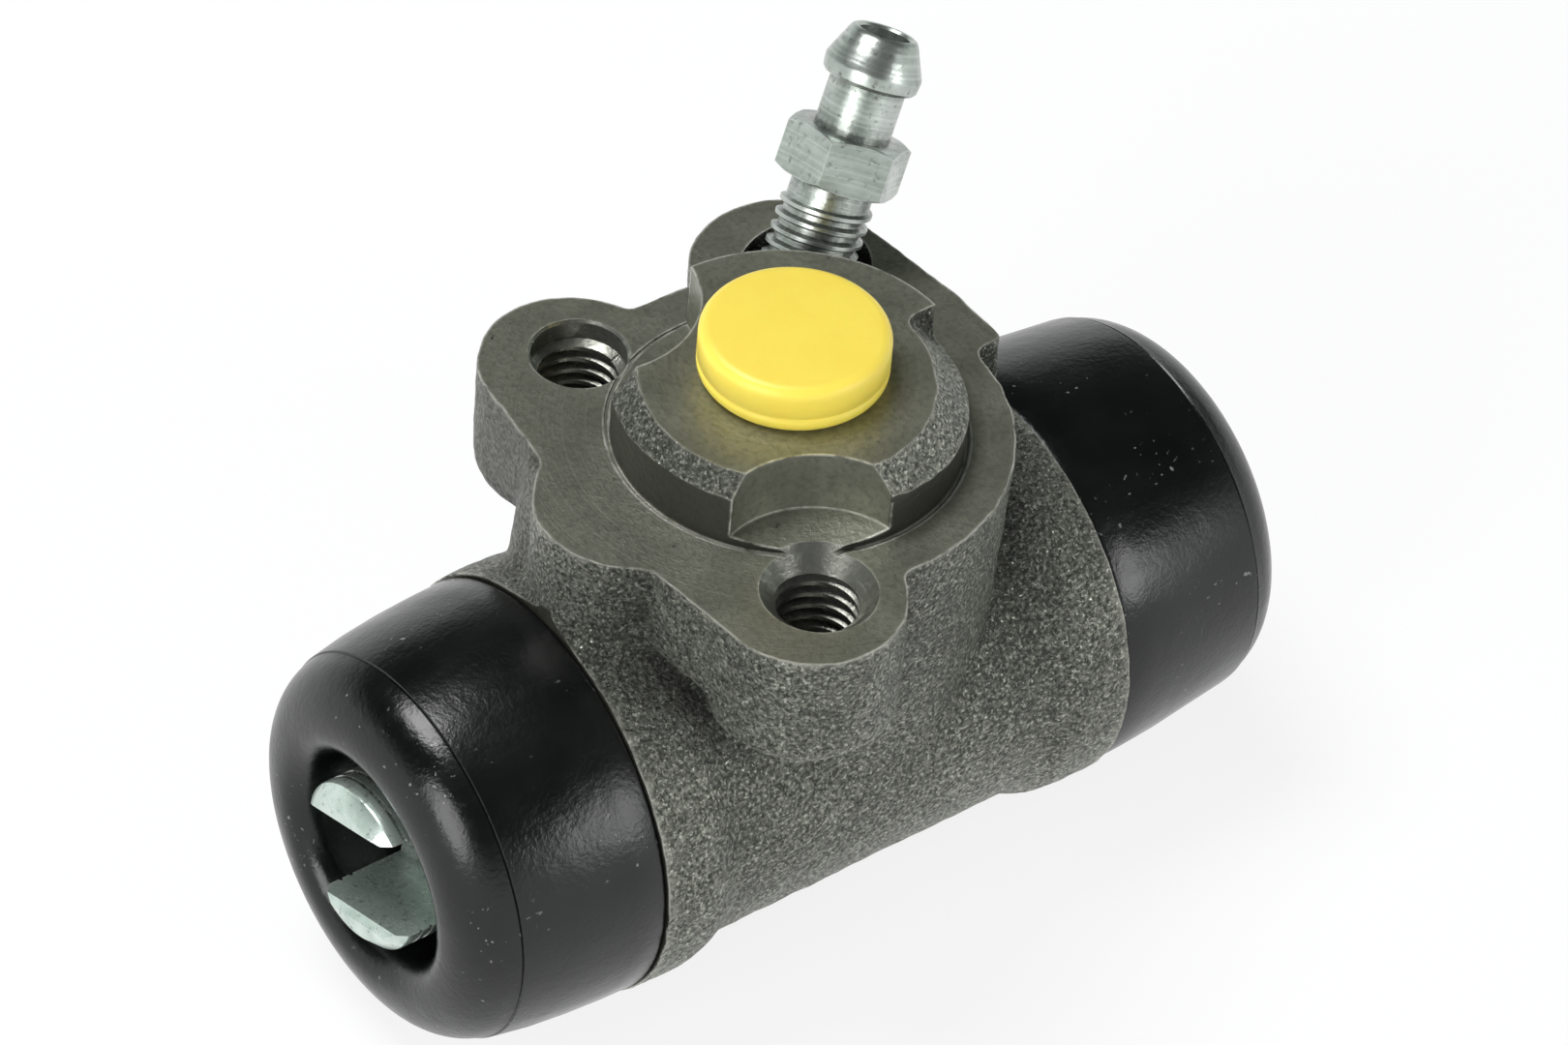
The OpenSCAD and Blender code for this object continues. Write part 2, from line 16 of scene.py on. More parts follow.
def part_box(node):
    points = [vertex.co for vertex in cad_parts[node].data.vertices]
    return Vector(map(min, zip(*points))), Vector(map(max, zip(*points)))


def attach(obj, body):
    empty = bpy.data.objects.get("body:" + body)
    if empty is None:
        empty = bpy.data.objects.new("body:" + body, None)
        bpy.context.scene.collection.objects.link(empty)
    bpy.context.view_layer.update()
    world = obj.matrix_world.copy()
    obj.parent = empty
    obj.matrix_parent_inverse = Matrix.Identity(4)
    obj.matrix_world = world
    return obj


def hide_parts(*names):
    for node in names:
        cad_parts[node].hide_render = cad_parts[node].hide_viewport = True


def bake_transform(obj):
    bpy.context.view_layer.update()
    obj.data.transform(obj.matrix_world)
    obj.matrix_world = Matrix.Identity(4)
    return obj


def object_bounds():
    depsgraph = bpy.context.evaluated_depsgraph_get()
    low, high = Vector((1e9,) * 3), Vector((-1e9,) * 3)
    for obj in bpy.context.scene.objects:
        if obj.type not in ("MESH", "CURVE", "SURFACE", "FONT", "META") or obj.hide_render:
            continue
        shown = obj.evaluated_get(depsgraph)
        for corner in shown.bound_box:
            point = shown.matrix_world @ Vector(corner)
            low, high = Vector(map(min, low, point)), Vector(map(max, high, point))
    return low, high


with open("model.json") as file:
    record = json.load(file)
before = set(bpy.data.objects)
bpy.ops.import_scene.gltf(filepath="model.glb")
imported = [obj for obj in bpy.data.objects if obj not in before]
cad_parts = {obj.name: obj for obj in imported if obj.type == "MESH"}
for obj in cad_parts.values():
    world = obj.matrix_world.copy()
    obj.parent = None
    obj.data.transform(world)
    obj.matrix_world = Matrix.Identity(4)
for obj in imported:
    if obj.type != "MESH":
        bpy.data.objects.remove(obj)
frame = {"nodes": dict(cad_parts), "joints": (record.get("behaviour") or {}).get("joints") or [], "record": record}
cad_low, cad_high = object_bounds()
MM = 0.001


def in_mm(metres):
    return [1000 * v for v in metres]


def rounded_mm(metres):
    return [round(v, 2) for v in in_mm(metres)]


print("CAD box in mm:", rounded_mm(cad_low), rounded_mm(cad_high))

# %% [markdown]
# ## Drawing in millimetres
# The part is about the size of a fist, so its sizes read best in millimetres.
# Each piece is drawn with one Blender unit for a millimetre, and the last step of a piece shrinks it
# to metres and applies that, so its object ends at the origin with its place in its mesh.
# A turned piece starts as a single point. Extruding that point from place to place draws the section,
# as one would click it by hand, and Spin turns the section into a solid.

# %% Places that the frame gives
mounts = {m["name"]: in_mm(m["pos_m"]) for m in frame["record"]["mounts"]}
AXIS_Y, AXIS_Z = mounts["shoe_slot_left"][1:]
BOLTS = {side: tuple(mounts["bolt_hole_" + side][:2]) for side in ("left", "front")}
screw_joint = next(j for j in frame["joints"] if j["name"] == "bleeder_turn")
SCREW_FOOT = in_mm(screw_joint["pos_m"])
lean = Vector(screw_joint["axis"])
TILT, TURN = math.acos(lean.z), math.atan2(lean.y, lean.x)
print("bore axis at y", AXIS_Y, "z", AXIS_Z, "bolts", BOLTS, "screw lean", round(math.degrees(TILT), 1))

# %% Helpers that pick and draw
SAME_POINT = 0.0001


def only(piece):
    bpy.ops.object.select_all(action="DESELECT")
    piece.select_set(True)
    bpy.context.view_layer.objects.active = piece


def named(name):
    piece = bpy.context.object
    piece.name = piece.data.name = name
    return piece


def draw_line(name, points):
    """A closed chain of edges through the points, made by extruding one vertex again and again."""
    bpy.ops.object.select_all(action="DESELECT")
    bpy.ops.mesh.primitive_plane_add(size=1, location=(0, 0, 0))
    piece = named(name)
    bpy.ops.object.mode_set(mode="EDIT")
    bpy.ops.mesh.select_all(action="SELECT")
    bpy.ops.mesh.merge(type="CENTER")
    bpy.ops.transform.translate(value=points[0])
    for here, there in zip(points, points[1:]):
        step = Vector(there) - Vector(here)
        bpy.ops.mesh.extrude_vertices_move(TRANSFORM_OT_translate={"value": step})
    bpy.ops.object.mode_set(mode="OBJECT")
    for v in piece.data.vertices:
        v.select = min((v.co - Vector(points[i])).length for i in (0, -1)) < SAME_POINT
    bpy.ops.object.mode_set(mode="EDIT")
    bpy.ops.mesh.edge_face_add()
    bpy.ops.object.mode_set(mode="OBJECT")
    return piece


def arc(x, y, r, start, end, steps=8):
    turns = [math.radians(start + (end - start) * i / steps) for i in range(steps + 1)]
    return [(x + r * math.cos(t), y + r * math.sin(t)) for t in turns]


print("helpers that draw are ready")

# %% Helpers that turn and extrude
DOUBLE, SLIVER = 0.002, 0.0005


def close_up():
    """Merges the doubles of the mesh in edit mode, turns its faces outwards and leaves edit mode."""
    bpy.ops.mesh.select_all(action="SELECT")
    bpy.ops.mesh.remove_doubles(threshold=DOUBLE)
    bpy.ops.mesh.dissolve_degenerate(threshold=SLIVER)
    bpy.ops.mesh.select_all(action="SELECT")
    bpy.ops.mesh.delete_loose()
    bpy.ops.mesh.select_all(action="SELECT")
    bpy.ops.mesh.normals_make_consistent(inside=False)
    bpy.ops.object.mode_set(mode="OBJECT")


def turned(name, section, along="Z", middle=(0, 0), steps=96):
    """A section of (radius, height) turned about an upright axis, or about the bore."""
    if along == "Z":
        points = [(middle[0] + r, middle[1], h) for r, h in section]
        centre, axis = (middle[0], middle[1], 0), (0, 0, 1)
    else:
        points = [(h, AXIS_Y, AXIS_Z + r) for r, h in section]
        centre, axis = (0, AXIS_Y, AXIS_Z), (1, 0, 0)
    piece = draw_line(name, points)
    bpy.ops.object.mode_set(mode="EDIT")
    bpy.ops.mesh.select_all(action="SELECT")
    bpy.ops.mesh.spin(steps=steps, angle=2 * math.pi, center=centre, axis=axis)
    close_up()
    return piece


def prism(name, outline, low, high):
    """A flat outline drawn at the height low, filled, and extruded up to high."""
    piece = draw_line(name, [(x, y, low) for x, y in outline])
    bpy.ops.object.mode_set(mode="EDIT")
    bpy.ops.mesh.select_all(action="SELECT")
    bpy.ops.mesh.edge_face_add()
    bpy.ops.mesh.extrude_region_move(TRANSFORM_OT_translate={"value": (0, 0, high - low)})
    close_up()
    return piece


print("helpers that turn and extrude are ready")

# %% Helpers that place and shade
def put(piece, where):
    """Moves and turns a piece, and applies that to its mesh."""
    only(piece)
    piece.matrix_world = where
    bpy.ops.object.transform_apply(location=True, rotation=True, scale=True)
    return piece


def settle(piece, where=Matrix()):
    """Shrinks a finished piece to metres and applies its place."""
    put(piece, Matrix.Scale(MM, 4) @ where)
    piece.data.calc_loop_triangles()
    triangles = len(piece.data.loop_triangles)
    print(piece.name, "size in mm", rounded_mm(piece.dimensions), "triangles", triangles)
    return piece


def smooth(piece, angle):
    only(piece)
    bpy.ops.object.shade_smooth_by_angle(angle=math.radians(angle))


print("helpers that place and shade are ready")

# %% [markdown]
# ## Finishes
# A finish is a small network of nodes on one Principled shader.
# The patterns could be painted pictures, but nodes need no files and hold up at any distance.
# All patterns read Object coordinates, which are metres in the shared frame, so a noise scale of 1000
# makes grains about a millimetre wide. A value that is the same everywhere sits on the shader itself.

# %% Nodes laid in one line each
class Nodes:
    """The node tree of a material or of the world, with short ways to lay its nodes."""

    def __init__(self, tree):
        self.tree = tree

    def feed(self, socket, value):
        """Links another node's output to a socket, or sets a constant on it."""
        if isinstance(value, bpy.types.NodeSocket):
            self.tree.links.new(value, socket)
        elif socket.type == "RGBA":
            socket.default_value = (*value, 1)
        else:
            socket.default_value = value

    def lay(self, kind, **inputs):
        """A new node, with its inputs fed by name."""
        node = self.tree.nodes.new(kind)
        for name, value in inputs.items():
            self.feed(node.inputs[name.replace("_", " ")], value)
        return node

    def sums(self, kind, *values):
        """One Math node."""
        node = self.lay("ShaderNodeMath")
        node.operation = kind
        for socket, value in zip(node.inputs, values):
            self.feed(socket, value)
        return node.outputs["Value"]

    def times(self, a, b):
        return self.sums("MULTIPLY", a, b)

    def between(self, factor, low, high):
        """A number between low and high."""
        return self.sums("MULTIPLY_ADD", factor, high - low, low)

    def spread(self, value, low, high):
        """The value stretched so that low becomes 0 and high becomes 1, and held between them."""
        node = self.lay("ShaderNodeMapRange", Value=value, From_Min=low, From_Max=high)
        return node.outputs["Result"]


print("short ways to lay nodes are ready")

# %% Patterns that lie over the object
class Patterns(Nodes):
    """Noises, rings and spots on Object coordinates."""

    def place(self, location=(0, 0, 0), rotation=(0, 0, 0), scale=(1, 1, 1)):
        """Object coordinates as seen from a piece's own axis."""
        coord = self.lay("ShaderNodeTexCoord")
        mapping = self.lay("ShaderNodeMapping", Vector=coord.outputs["Object"], Location=location,
                           Rotation=rotation, Scale=scale)
        mapping.vector_type = "TEXTURE"
        return mapping.outputs["Vector"]

    def noise(self, vector, scale, detail=3.0, rough=0.55, low=0.35, high=0.65):
        """A noise spread between the two limits, from 0 to 1."""
        texture = self.lay("ShaderNodeTexNoise", Vector=vector, Scale=scale, Detail=detail, Roughness=rough)
        return self.spread(texture.outputs["Fac"], low, high)

    def radius(self, vector):
        """Distance from the upright axis of a vector, and height along it, in metres."""
        x, y, z = self.lay("ShaderNodeSeparateXYZ", Vector=vector).outputs
        square = self.sums("MULTIPLY_ADD", y, y, self.times(x, x))
        return self.sums("SQRT", square), z

    def rings(self, distance, scale, detail):
        """Fine turning rings: a noise that only changes with one distance."""
        texture = self.lay("ShaderNodeTexNoise", Scale=scale, Detail=detail)
        texture.noise_dimensions = "1D"
        self.feed(texture.inputs["W"], distance)
        return texture.outputs["Fac"]

    def near(self, vector, point, inside, outside):
        """1 within the distance inside of a point, falling to 0 at the distance outside, in millimetres."""
        node = self.lay("ShaderNodeVectorMath")
        node.operation = "DISTANCE"
        self.feed(node.inputs[0], vector)
        self.feed(node.inputs[1], [MM * v for v in point])
        return self.spread(node.outputs["Value"], MM * outside, MM * inside)


print("noises, rings and spots are ready")

# %% Wear and painted light that the form itself shows
EDGE_SAMPLES, SHELTER_SAMPLES = 5, 3


class WearAndPaintedLight(Patterns):
    """Where a form has edges, ridges and sheltered places."""

    def edge(self, width):
        """1 on a sharp edge and 0 away from it: a rounded normal leans away from the plain one there."""
        rounded = self.lay("ShaderNodeBevel", Radius=width)
        rounded.samples = EDGE_SAMPLES
        plain = self.lay("ShaderNodeNewGeometry")
        agree = self.lay("ShaderNodeVectorMath")
        agree.operation = "DOT_PRODUCT"
        self.feed(agree.inputs[0], rounded.outputs["Normal"])
        self.feed(agree.inputs[1], plain.outputs["Normal"])
        return self.spread(agree.outputs["Value"], 0.97, 0.88)

    def ridge(self, low, high):
        """1 on a sharply bent ridge and 0 on flat or hollow ground."""
        return self.spread(self.lay("ShaderNodeNewGeometry").outputs["Pointiness"], low, high)

    def sheltered(self, reach, open_sky, closed_in):
        """0 in the open and 1 in a corner or hole that sees little sky within that reach in metres."""
        node = self.lay("ShaderNodeAmbientOcclusion", Distance=reach)
        node.samples = SHELTER_SAMPLES
        return self.spread(node.outputs["AO"], open_sky, closed_in)


print("edges, ridges and shelter are ready")

# %% A finish made of them
class Finish(WearAndPaintedLight):
    """A material with one Principled shader."""

    def __init__(self, name, **constants):
        self.material = bpy.data.materials.new(name)
        self.material.use_nodes = True
        super().__init__(self.material.node_tree)
        self.shader = self.tree.nodes["Principled BSDF"]
        for socket, value in constants.items():
            self.feed(self.shader.inputs[socket.replace("_", " ")], value)

    def ramp(self, factor, *stops):
        """Colours at places from 0 to 1."""
        node = self.lay("ShaderNodeValToRGB", Fac=factor)
        bar = node.color_ramp
        while len(bar.elements) < len(stops):
            bar.elements.new(0.5)
        for element, (where, colour) in zip(bar.elements, stops):
            element.position = where
            element.color = (*colour, 1)
        return node.outputs["Color"]

    def tinted(self, tone, mask, share, colour):
        """The tone, with that share of a colour where the mask is 1."""
        node = self.lay("ShaderNodeMix")
        node.data_type = "RGBA"
        factor, a, b = node.inputs[0], node.inputs[6], node.inputs[7]
        for socket, value in ((factor, self.times(mask, share)), (a, tone), (b, colour)):
            self.feed(socket, value)
        return node.outputs[2]

    def bump(self, height, depth, strength=1.0, under=None):
        """Relief of that depth in metres, from a height of 0 to 1, laid over other relief."""
        node = self.lay("ShaderNodeBump", Height=height, Distance=depth, Strength=strength)
        if under is not None:
            self.feed(node.inputs["Normal"], under)
        return node.outputs["Normal"]

    def done(self, colour, roughness, normal):
        """Links the patterns to the shader and hands over the material."""
        for socket, pattern in (("Base Color", colour), ("Roughness", roughness), ("Normal", normal)):
            self.feed(self.shader.inputs[socket], pattern)
        print(self.material.name, len(self.tree.nodes), "nodes")
        return self.material


ON_BORE = {"location": (0, MM * AXIS_Y, MM * AXIS_Z), "rotation": (0, math.radians(90), 0)}
ON_SCREW = {"location": [MM * v for v in SCREW_FOOT], "rotation": (0, TILT, TURN)}
print("finishes can lie about the bore and about the screw")

# %% [markdown]
# ## Cast iron
# The raw casting came out of a sand mould: dark grey and grainy, with bright specks where grains catch
# the light and slow patches of tone. Ridges are painted lighter, partly as wear and partly as a painted highlight,
# cut edges carry a bright line that is partly a burr and partly a painted highlight, and hollows get painted
# shade.
# The wall under the left bolt hole was ground where metal had run into the mould, so it is paler and finer.
# One dark noise would look like stone. Here the metal stays shiny, two noises give it relief, a third is cut
# sharply for the specks, and the form itself says where ridges get wear and a painted highlight (Pointiness)
# and where hollows get painted shade (Ambient Occlusion).

# %% The cast finish
GROUND_SPOT = (-17, 15, -4)
cast = Finish("cast_iron", Metallic=0.85, Specular_IOR_Level=0.5)
here = cast.place()
grain = cast.noise(here, 2600, 4, 0.7, 0.38, 0.63)
patch = cast.noise(here, 130, 3, 0.5)
speck = cast.noise(here, 3200, 2, 0.6, 0.57, 0.66)
ground = cast.near(here, GROUND_SPOT, 7.5, 13)
# burr and painted highlight: a bright line along every sharp edge
burr_and_highlight = cast.times(cast.edge(0.0003), cast.noise(here, 300, 4, 0.7, 0.4, 0.58))
# wear and painted highlight: sharply bent ridges are painted lighter
wear_and_highlight = cast.ridge(0.515, 0.56)
# painted shade: hollows that see little sky are painted dark
painted_shade = cast.sheltered(0.007, 0.85, 0.4)
tone = cast.ramp(grain, (0.0, (0.055, 0.057, 0.048)), (0.5, (0.185, 0.192, 0.164)),
                 (1.0, (0.42, 0.433, 0.372)))
ground_tone = cast.ramp(grain, (0.0, (0.085, 0.085, 0.075)), (1.0, (0.16, 0.158, 0.138)))
tone = cast.tinted(tone, patch, 0.25, (0.10, 0.104, 0.088))
tone = cast.tinted(tone, speck, 0.65, (0.85, 0.86, 0.77))
tone = cast.tinted(tone, ground, 0.85, ground_tone)
tone = cast.tinted(tone, burr_and_highlight, 0.8, (0.85, 0.84, 0.77))
tone = cast.tinted(tone, wear_and_highlight, 0.6, (0.62, 0.62, 0.55))
tone = cast.tinted(tone, painted_shade, 0.75, (0.035, 0.036, 0.031))
raw_share = cast.between(ground, 1.0, 0.25)
coarse = cast.bump(cast.times(cast.noise(here, 420, 4, 0.55), raw_share), 0.0005, 0.7)
relief = cast.bump(cast.times(grain, raw_share), 0.0005, 1.0, coarse)
cast_iron = cast.done(tone, cast.between(grain, 0.5, 0.32), relief)

# %% [markdown]
# ## Turned iron
# The mounting face, the spigot and the boss top were turned about one axis, so their marks are rings
# about it. The face is smoother and lighter than the casting, with an oily olive cast, small pits
# and a few wider rings. The spigot's upright wall is painted darker, as painted shade for the dark face that it
# mirrors.
# A thin bright line runs along each edge, partly a burr that the tool left and partly a painted highlight.
# That line could be modelled, but the Bevel node finds every edge by itself.

# %% The turned finish
SPIGOT_R = 14.5
face = Finish("turned_iron", Metallic=0.65, Specular_IOR_Level=0.5)
here = face.place()
r, _ = face.radius(here)
ring = face.rings(r, 3600, 3)
wide = face.spread(face.rings(r, 1500, 3), 0.6, 0.75)
patch = face.noise(here, 190, 4, 0.6)
fleck = face.noise(here, 1700, 4, 0.65, 0.42, 0.7)
pit = face.noise(here, 900, 2, 0.5, 0.72, 0.78)
# painted shade: the spigot's upright wall is painted dark, for the dark face that it mirrors
normal = face.lay("ShaderNodeNewGeometry").outputs["Normal"]
upright = face.spread(face.lay("ShaderNodeSeparateXYZ", Vector=normal).outputs["Z"], 0.6, 0.2)
wall = face.times(upright, face.spread(r, MM * (SPIGOT_R - 0.3), MM * (SPIGOT_R - 0.1)))
# burr and painted highlight: a bright line along every sharp edge
burr_and_highlight = face.times(face.edge(0.0004), face.noise(here, 300, 4, 0.7, 0.36, 0.52))
tone = face.ramp(fleck, (0.0, (0.25, 0.257, 0.205)), (1.0, (0.15, 0.154, 0.122)))
tone = face.tinted(tone, ring, 0.22, (0.31, 0.317, 0.255))
tone = face.tinted(tone, patch, 0.35, (0.165, 0.169, 0.132))
tone = face.tinted(tone, wide, 0.14, (0.34, 0.33, 0.29))
tone = face.tinted(tone, pit, 0.8, (0.03, 0.03, 0.026))
# painted shade on the spigot's upright wall
tone = face.tinted(tone, wall, 0.85, (0.025, 0.025, 0.022))
tone = face.tinted(tone, burr_and_highlight, 1.0, (0.90, 0.89, 0.82))
relief = face.bump(fleck, 0.00005, 0.45, face.bump(ring, 0.00004, 0.35))
turned_iron = face.done(tone, face.between(patch, 0.40, 0.30), relief)

# %% [markdown]
# ## Fresh metal
# Threads and countersinks were cut last and stay brighter than the face, but oil dulls them here and there.
# Rings could follow each hole's own axis, but the holes are small, so one noise for tone, gloss and relief
# is enough.

# %% The fresh cut finish
fresh = Finish("fresh_cut", Metallic=0.85, Specular_IOR_Level=0.5)
dull = fresh.noise(fresh.place(), 1100, 4, 0.65)
tone = fresh.ramp(dull, (0.0, (0.19, 0.193, 0.17)), (0.6, (0.27, 0.274, 0.245)), (1.0, (0.37, 0.376, 0.337)))
fresh_cut = fresh.done(tone, fresh.between(dull, 0.38, 0.26), fresh.bump(dull, 0.00004, 0.4))

# %% [markdown]
# ## Boot rubber
# The boots are moulded black rubber, half glossy where the mould was smooth, with slow changes of gloss,
# faint drag marks along the bore, and a few specks of pale lint. Lint could be laid on as hairs,
# but it is so fine that specks in the colour do as well.
# The drag marks are a noise stretched along the bore.

# %% The boot finish
rubber = Finish("boot_rubber", Specular_IOR_Level=0.45)
here = rubber.place()
cloud = rubber.noise(here, 110, 3, 0.5)
drag = rubber.noise(rubber.place(scale=(6, 1, 1)), 620, 3, 0.6)
fine = rubber.noise(here, 2200, 3, 0.6)
lint = rubber.times(rubber.noise(here, 1700, 1, 0.5, 0.71, 0.76), rubber.noise(here, 140, 2, 0.5, 0.5, 0.62))
tone = rubber.ramp(cloud, (0.0, (0.003, 0.0036, 0.0036)), (1.0, (0.006, 0.0068, 0.0066)))
tone = rubber.tinted(tone, lint, 0.6, (0.3, 0.31, 0.3))
gloss = rubber.sums("MULTIPLY_ADD", drag, 0.05, rubber.between(cloud, 0.17, 0.25))
relief = rubber.bump(fine, 0.00003, 0.35, rubber.bump(cloud, 0.0003, 0.2))
boot_rubber = rubber.done(tone, gloss, relief)

# %% [markdown]
# ## Zinc plate
# The bleed screw and the pistons are turned steel with a thin plate of zinc: pale, with fine rings about
# their own axes, cloudy patches where the plate is thicker and small dark stains. Grooves and holes are
# painted dark in patches, partly dirt and partly painted shade, and edges carry a painted highlight.
# The pistons are a little greener. One plain metal could serve both, but each has its own axis
# for its rings, so one function makes a finish for each.

# %% The zinc finishes
def zinc(name, axis, dark, pale, bright, gloss, metal):
    plate = Finish(name, Metallic=metal)
    here = plate.place()
    r, h = plate.radius(plate.place(**axis))
    ring = plate.rings(plate.sums("MULTIPLY_ADD", r, 0.15, h), 2600, 4)
    cloud = plate.noise(here, 330, 4, 0.6)
    stain = plate.noise(here, 1300, 4, 0.7, 0.57, 0.7)
    # dirt and painted shade: grooves and holes are painted dark in patches
    dirt_and_shade = plate.times(plate.sheltered(0.002, 0.85, 0.5), plate.noise(here, 1900, 3, 0.7, 0.3, 0.55))
    tone = plate.ramp(cloud, (0.0, dark), (1.0, pale))
    tone = plate.tinted(tone, plate.spread(ring, 0.42, 0.68), 0.3, bright)
    tone = plate.tinted(tone, stain, 0.7, (0.09, 0.085, 0.07))
    # painted highlight: sharp edges are painted bright
    tone = plate.tinted(tone, plate.edge(0.00013), 0.75, (0.88, 0.88, 0.85))
    tone = plate.tinted(tone, dirt_and_shade, 0.9, (0.035, 0.034, 0.022))
    relief = plate.bump(ring, 0.00005, 0.4, plate.bump(cloud, 0.00008, 0.25))
    return plate.done(tone, plate.between(cloud, gloss + 0.09, gloss), relief)


screw_zinc = zinc("screw_zinc", ON_SCREW, dark=(0.33, 0.37, 0.34), pale=(0.50, 0.54, 0.51),
                  bright=(0.76, 0.78, 0.74), gloss=0.28, metal=0.9)
piston_zinc = zinc("piston_zinc", ON_BORE, dark=(0.46, 0.57, 0.51), pale=(0.66, 0.75, 0.70),
                   bright=(0.82, 0.86, 0.83), gloss=0.24, metal=0.72)

# %% [markdown]
# ## Yellow plastic
# The plug is soft moulded plastic, an even pale yellow with a faint grain.
# A plain colour would look painted, so the shader's subsurface weight lets a little light into it.

# %% The plug's finish
plastic = Finish("yellow_plastic", Specular_IOR_Level=0.4, Subsurface_Weight=0.12, Subsurface_Scale=0.002)
here = plastic.place()
cloud = plastic.noise(here, 210, 3, 0.5)
fine = plastic.noise(here, 1600, 3, 0.6)
tone = plastic.ramp(cloud, (0.0, (0.95, 0.735, 0.10)), (1.0, (0.97, 0.775, 0.115)))
yellow_plastic = plastic.done(tone, plastic.between(cloud, 0.42, 0.34), plastic.bump(fine, 0.00002, 0.3))

# %% [markdown]
# ## Hidden pieces
# The cups, their expanders and the spring stay out of sight in the bore.
# The cups are rubber like the boots but duller, and the sheet and wire are plain drawn steel.
# They could be modelled anew, but the CAD solids of the cups and expanders are true enough, so they only
# take a finish with one cloudy noise.

# %% Finishes inside the bore
def plain_finish(name, dark, pale, metal, gloss, scale):
    plain = Finish(name, Metallic=metal)
    cloud = plain.noise(plain.place(**ON_BORE), scale, 4, 0.6)
    tone = plain.ramp(cloud, (0.0, dark), (1.0, pale))
    return plain.done(tone, plain.between(cloud, gloss + 0.12, gloss), plain.bump(cloud, 0.00006, 0.4))


cup_rubber = plain_finish("cup_rubber", (0.016, 0.016, 0.016), (0.03, 0.03, 0.029), 0.0, 0.5, 700)
pressed_steel = plain_finish("pressed_steel", (0.38, 0.38, 0.36), (0.56, 0.56, 0.53), 1.0, 0.32, 500)
spring_wire = plain_finish("spring_wire", (0.30, 0.30, 0.30), (0.48, 0.48, 0.47), 1.0, 0.3, 900)


def repaint(node, material):
    """A CAD node keeps its mesh and takes a finish."""
    slots = frame["nodes"][node].data.materials
    slots.clear()
    slots.append(material)


for end in ("left", "right"):
    repaint("cup_seal_" + end, cup_rubber)
    repaint("cup_expander_" + end, pressed_steel)
print("cups and expanders painted")

# %% [markdown]
# ## Raw casting
# The body was one casting: a barrel with a collar at each end, a column up to a flange with three lobes,
# and a boss in the middle. Each form is a simple solid, and the upper ones run above the mounting face,
# as a casting leaves stock to be machined. Sculpting could give the soft joints between them, but joining
# the solids, remeshing them to one skin and smoothing it gives the hollows that a sand mould leaves,
# at known sizes.

# %% Barrel and column
STOCK = 3.0
BARREL_R, COLLAR_R, COLLAR_X, HALF_LEN = 17.4, 18.65, 15.6, 30.0
COLUMN_R, FLANGE_R, FLANGE_EDGE = 17.3, 18.7, -0.2
raw = []
half = [(BARREL_R, COLLAR_X), (COLLAR_R - 0.35, COLLAR_X + 2.0), (COLLAR_R, COLLAR_X + 3.4),
        (COLLAR_R, HALF_LEN), (0, HALF_LEN)]
raw.append(turned("barrel", [(r, -x) for r, x in reversed(half)] + half, "X", steps=72))
column = [(0, AXIS_Z), (COLUMN_R, AXIS_Z), (FLANGE_R, FLANGE_EDGE), (FLANGE_R, STOCK), (0, STOCK)]
raw.append(turned("column", column))
print("barrel and column drawn")

# %% Lobes of the flange
LEFT_LOBE, FRONT_LOBE, BLEED_LOBE = (-9.95, 15.9), (-9.95, -16.5), (12.0, 15.9)
LOBE_R, BLEED_LOBE_R, LOBE_FOOT = 8.0, 8.5, -11.6
TONGUE, TONGUE_R = (-15.6, 0.0), 8.0
WEB, WEB_FOOT_R, WEB_TOP_R, WEB_TOP = (-14.7, 6.1), 8.1, 5.7, -0.5


def lobe(name, middle, r, low, under):
    """A round lobe from the height low, with its lower edge rounded by the radius under."""
    section = [(0, low)] + arc(r - under, low + under, under, -90, 0)
    return turned(name, section + [(r, STOCK), (0, STOCK)], "Z", middle, 64)


raw.append(lobe("left_lobe", LEFT_LOBE, LOBE_R, LOBE_FOOT, 2.2))
raw.append(lobe("front_lobe", FRONT_LOBE, LOBE_R, LOBE_FOOT, 1.4))
raw.append(lobe("bleed_lobe", BLEED_LOBE, BLEED_LOBE_R, LOBE_FOOT, 2.2))
raw.append(lobe("tongue", TONGUE, TONGUE_R, AXIS_Z, 1.0))
web = [(0, AXIS_Z), (WEB_FOOT_R, AXIS_Z), (WEB_TOP_R, WEB_TOP), (0, WEB_TOP)]
raw.append(turned("web", web, "Z", WEB, 48))
print("lobes drawn:", len(raw))

# %% Plates between the lobes
PLATE_FOOT, PLATE_EDGE = -8.6, -18.9
BLOCK_EDGE, BLOCK_FRONT, BLOCK_BACK = 21.7, -0.6, 5.4
left_plan = [(LEFT_LOBE[0] - LOBE_R, LEFT_LOBE[1]), (PLATE_EDGE, TONGUE_R), (PLATE_EDGE, -TONGUE_R),
             (FRONT_LOBE[0] - LOBE_R, FRONT_LOBE[1]), (0, FRONT_LOBE[1]), (0, LEFT_LOBE[1])]
raw.append(prism("left_plate", left_plan, PLATE_FOOT, STOCK))
block_plan = [(0, BLOCK_FRONT), (BLOCK_EDGE, BLOCK_FRONT), (BLOCK_EDGE, BLOCK_BACK),
              (BLEED_LOBE[0] + BLEED_LOBE_R, BLEED_LOBE[1]), (0, BLEED_LOBE[1])]
raw.append(prism("bleed_block", block_plan, AXIS_Z, STOCK))
print("plates drawn:", len(raw))

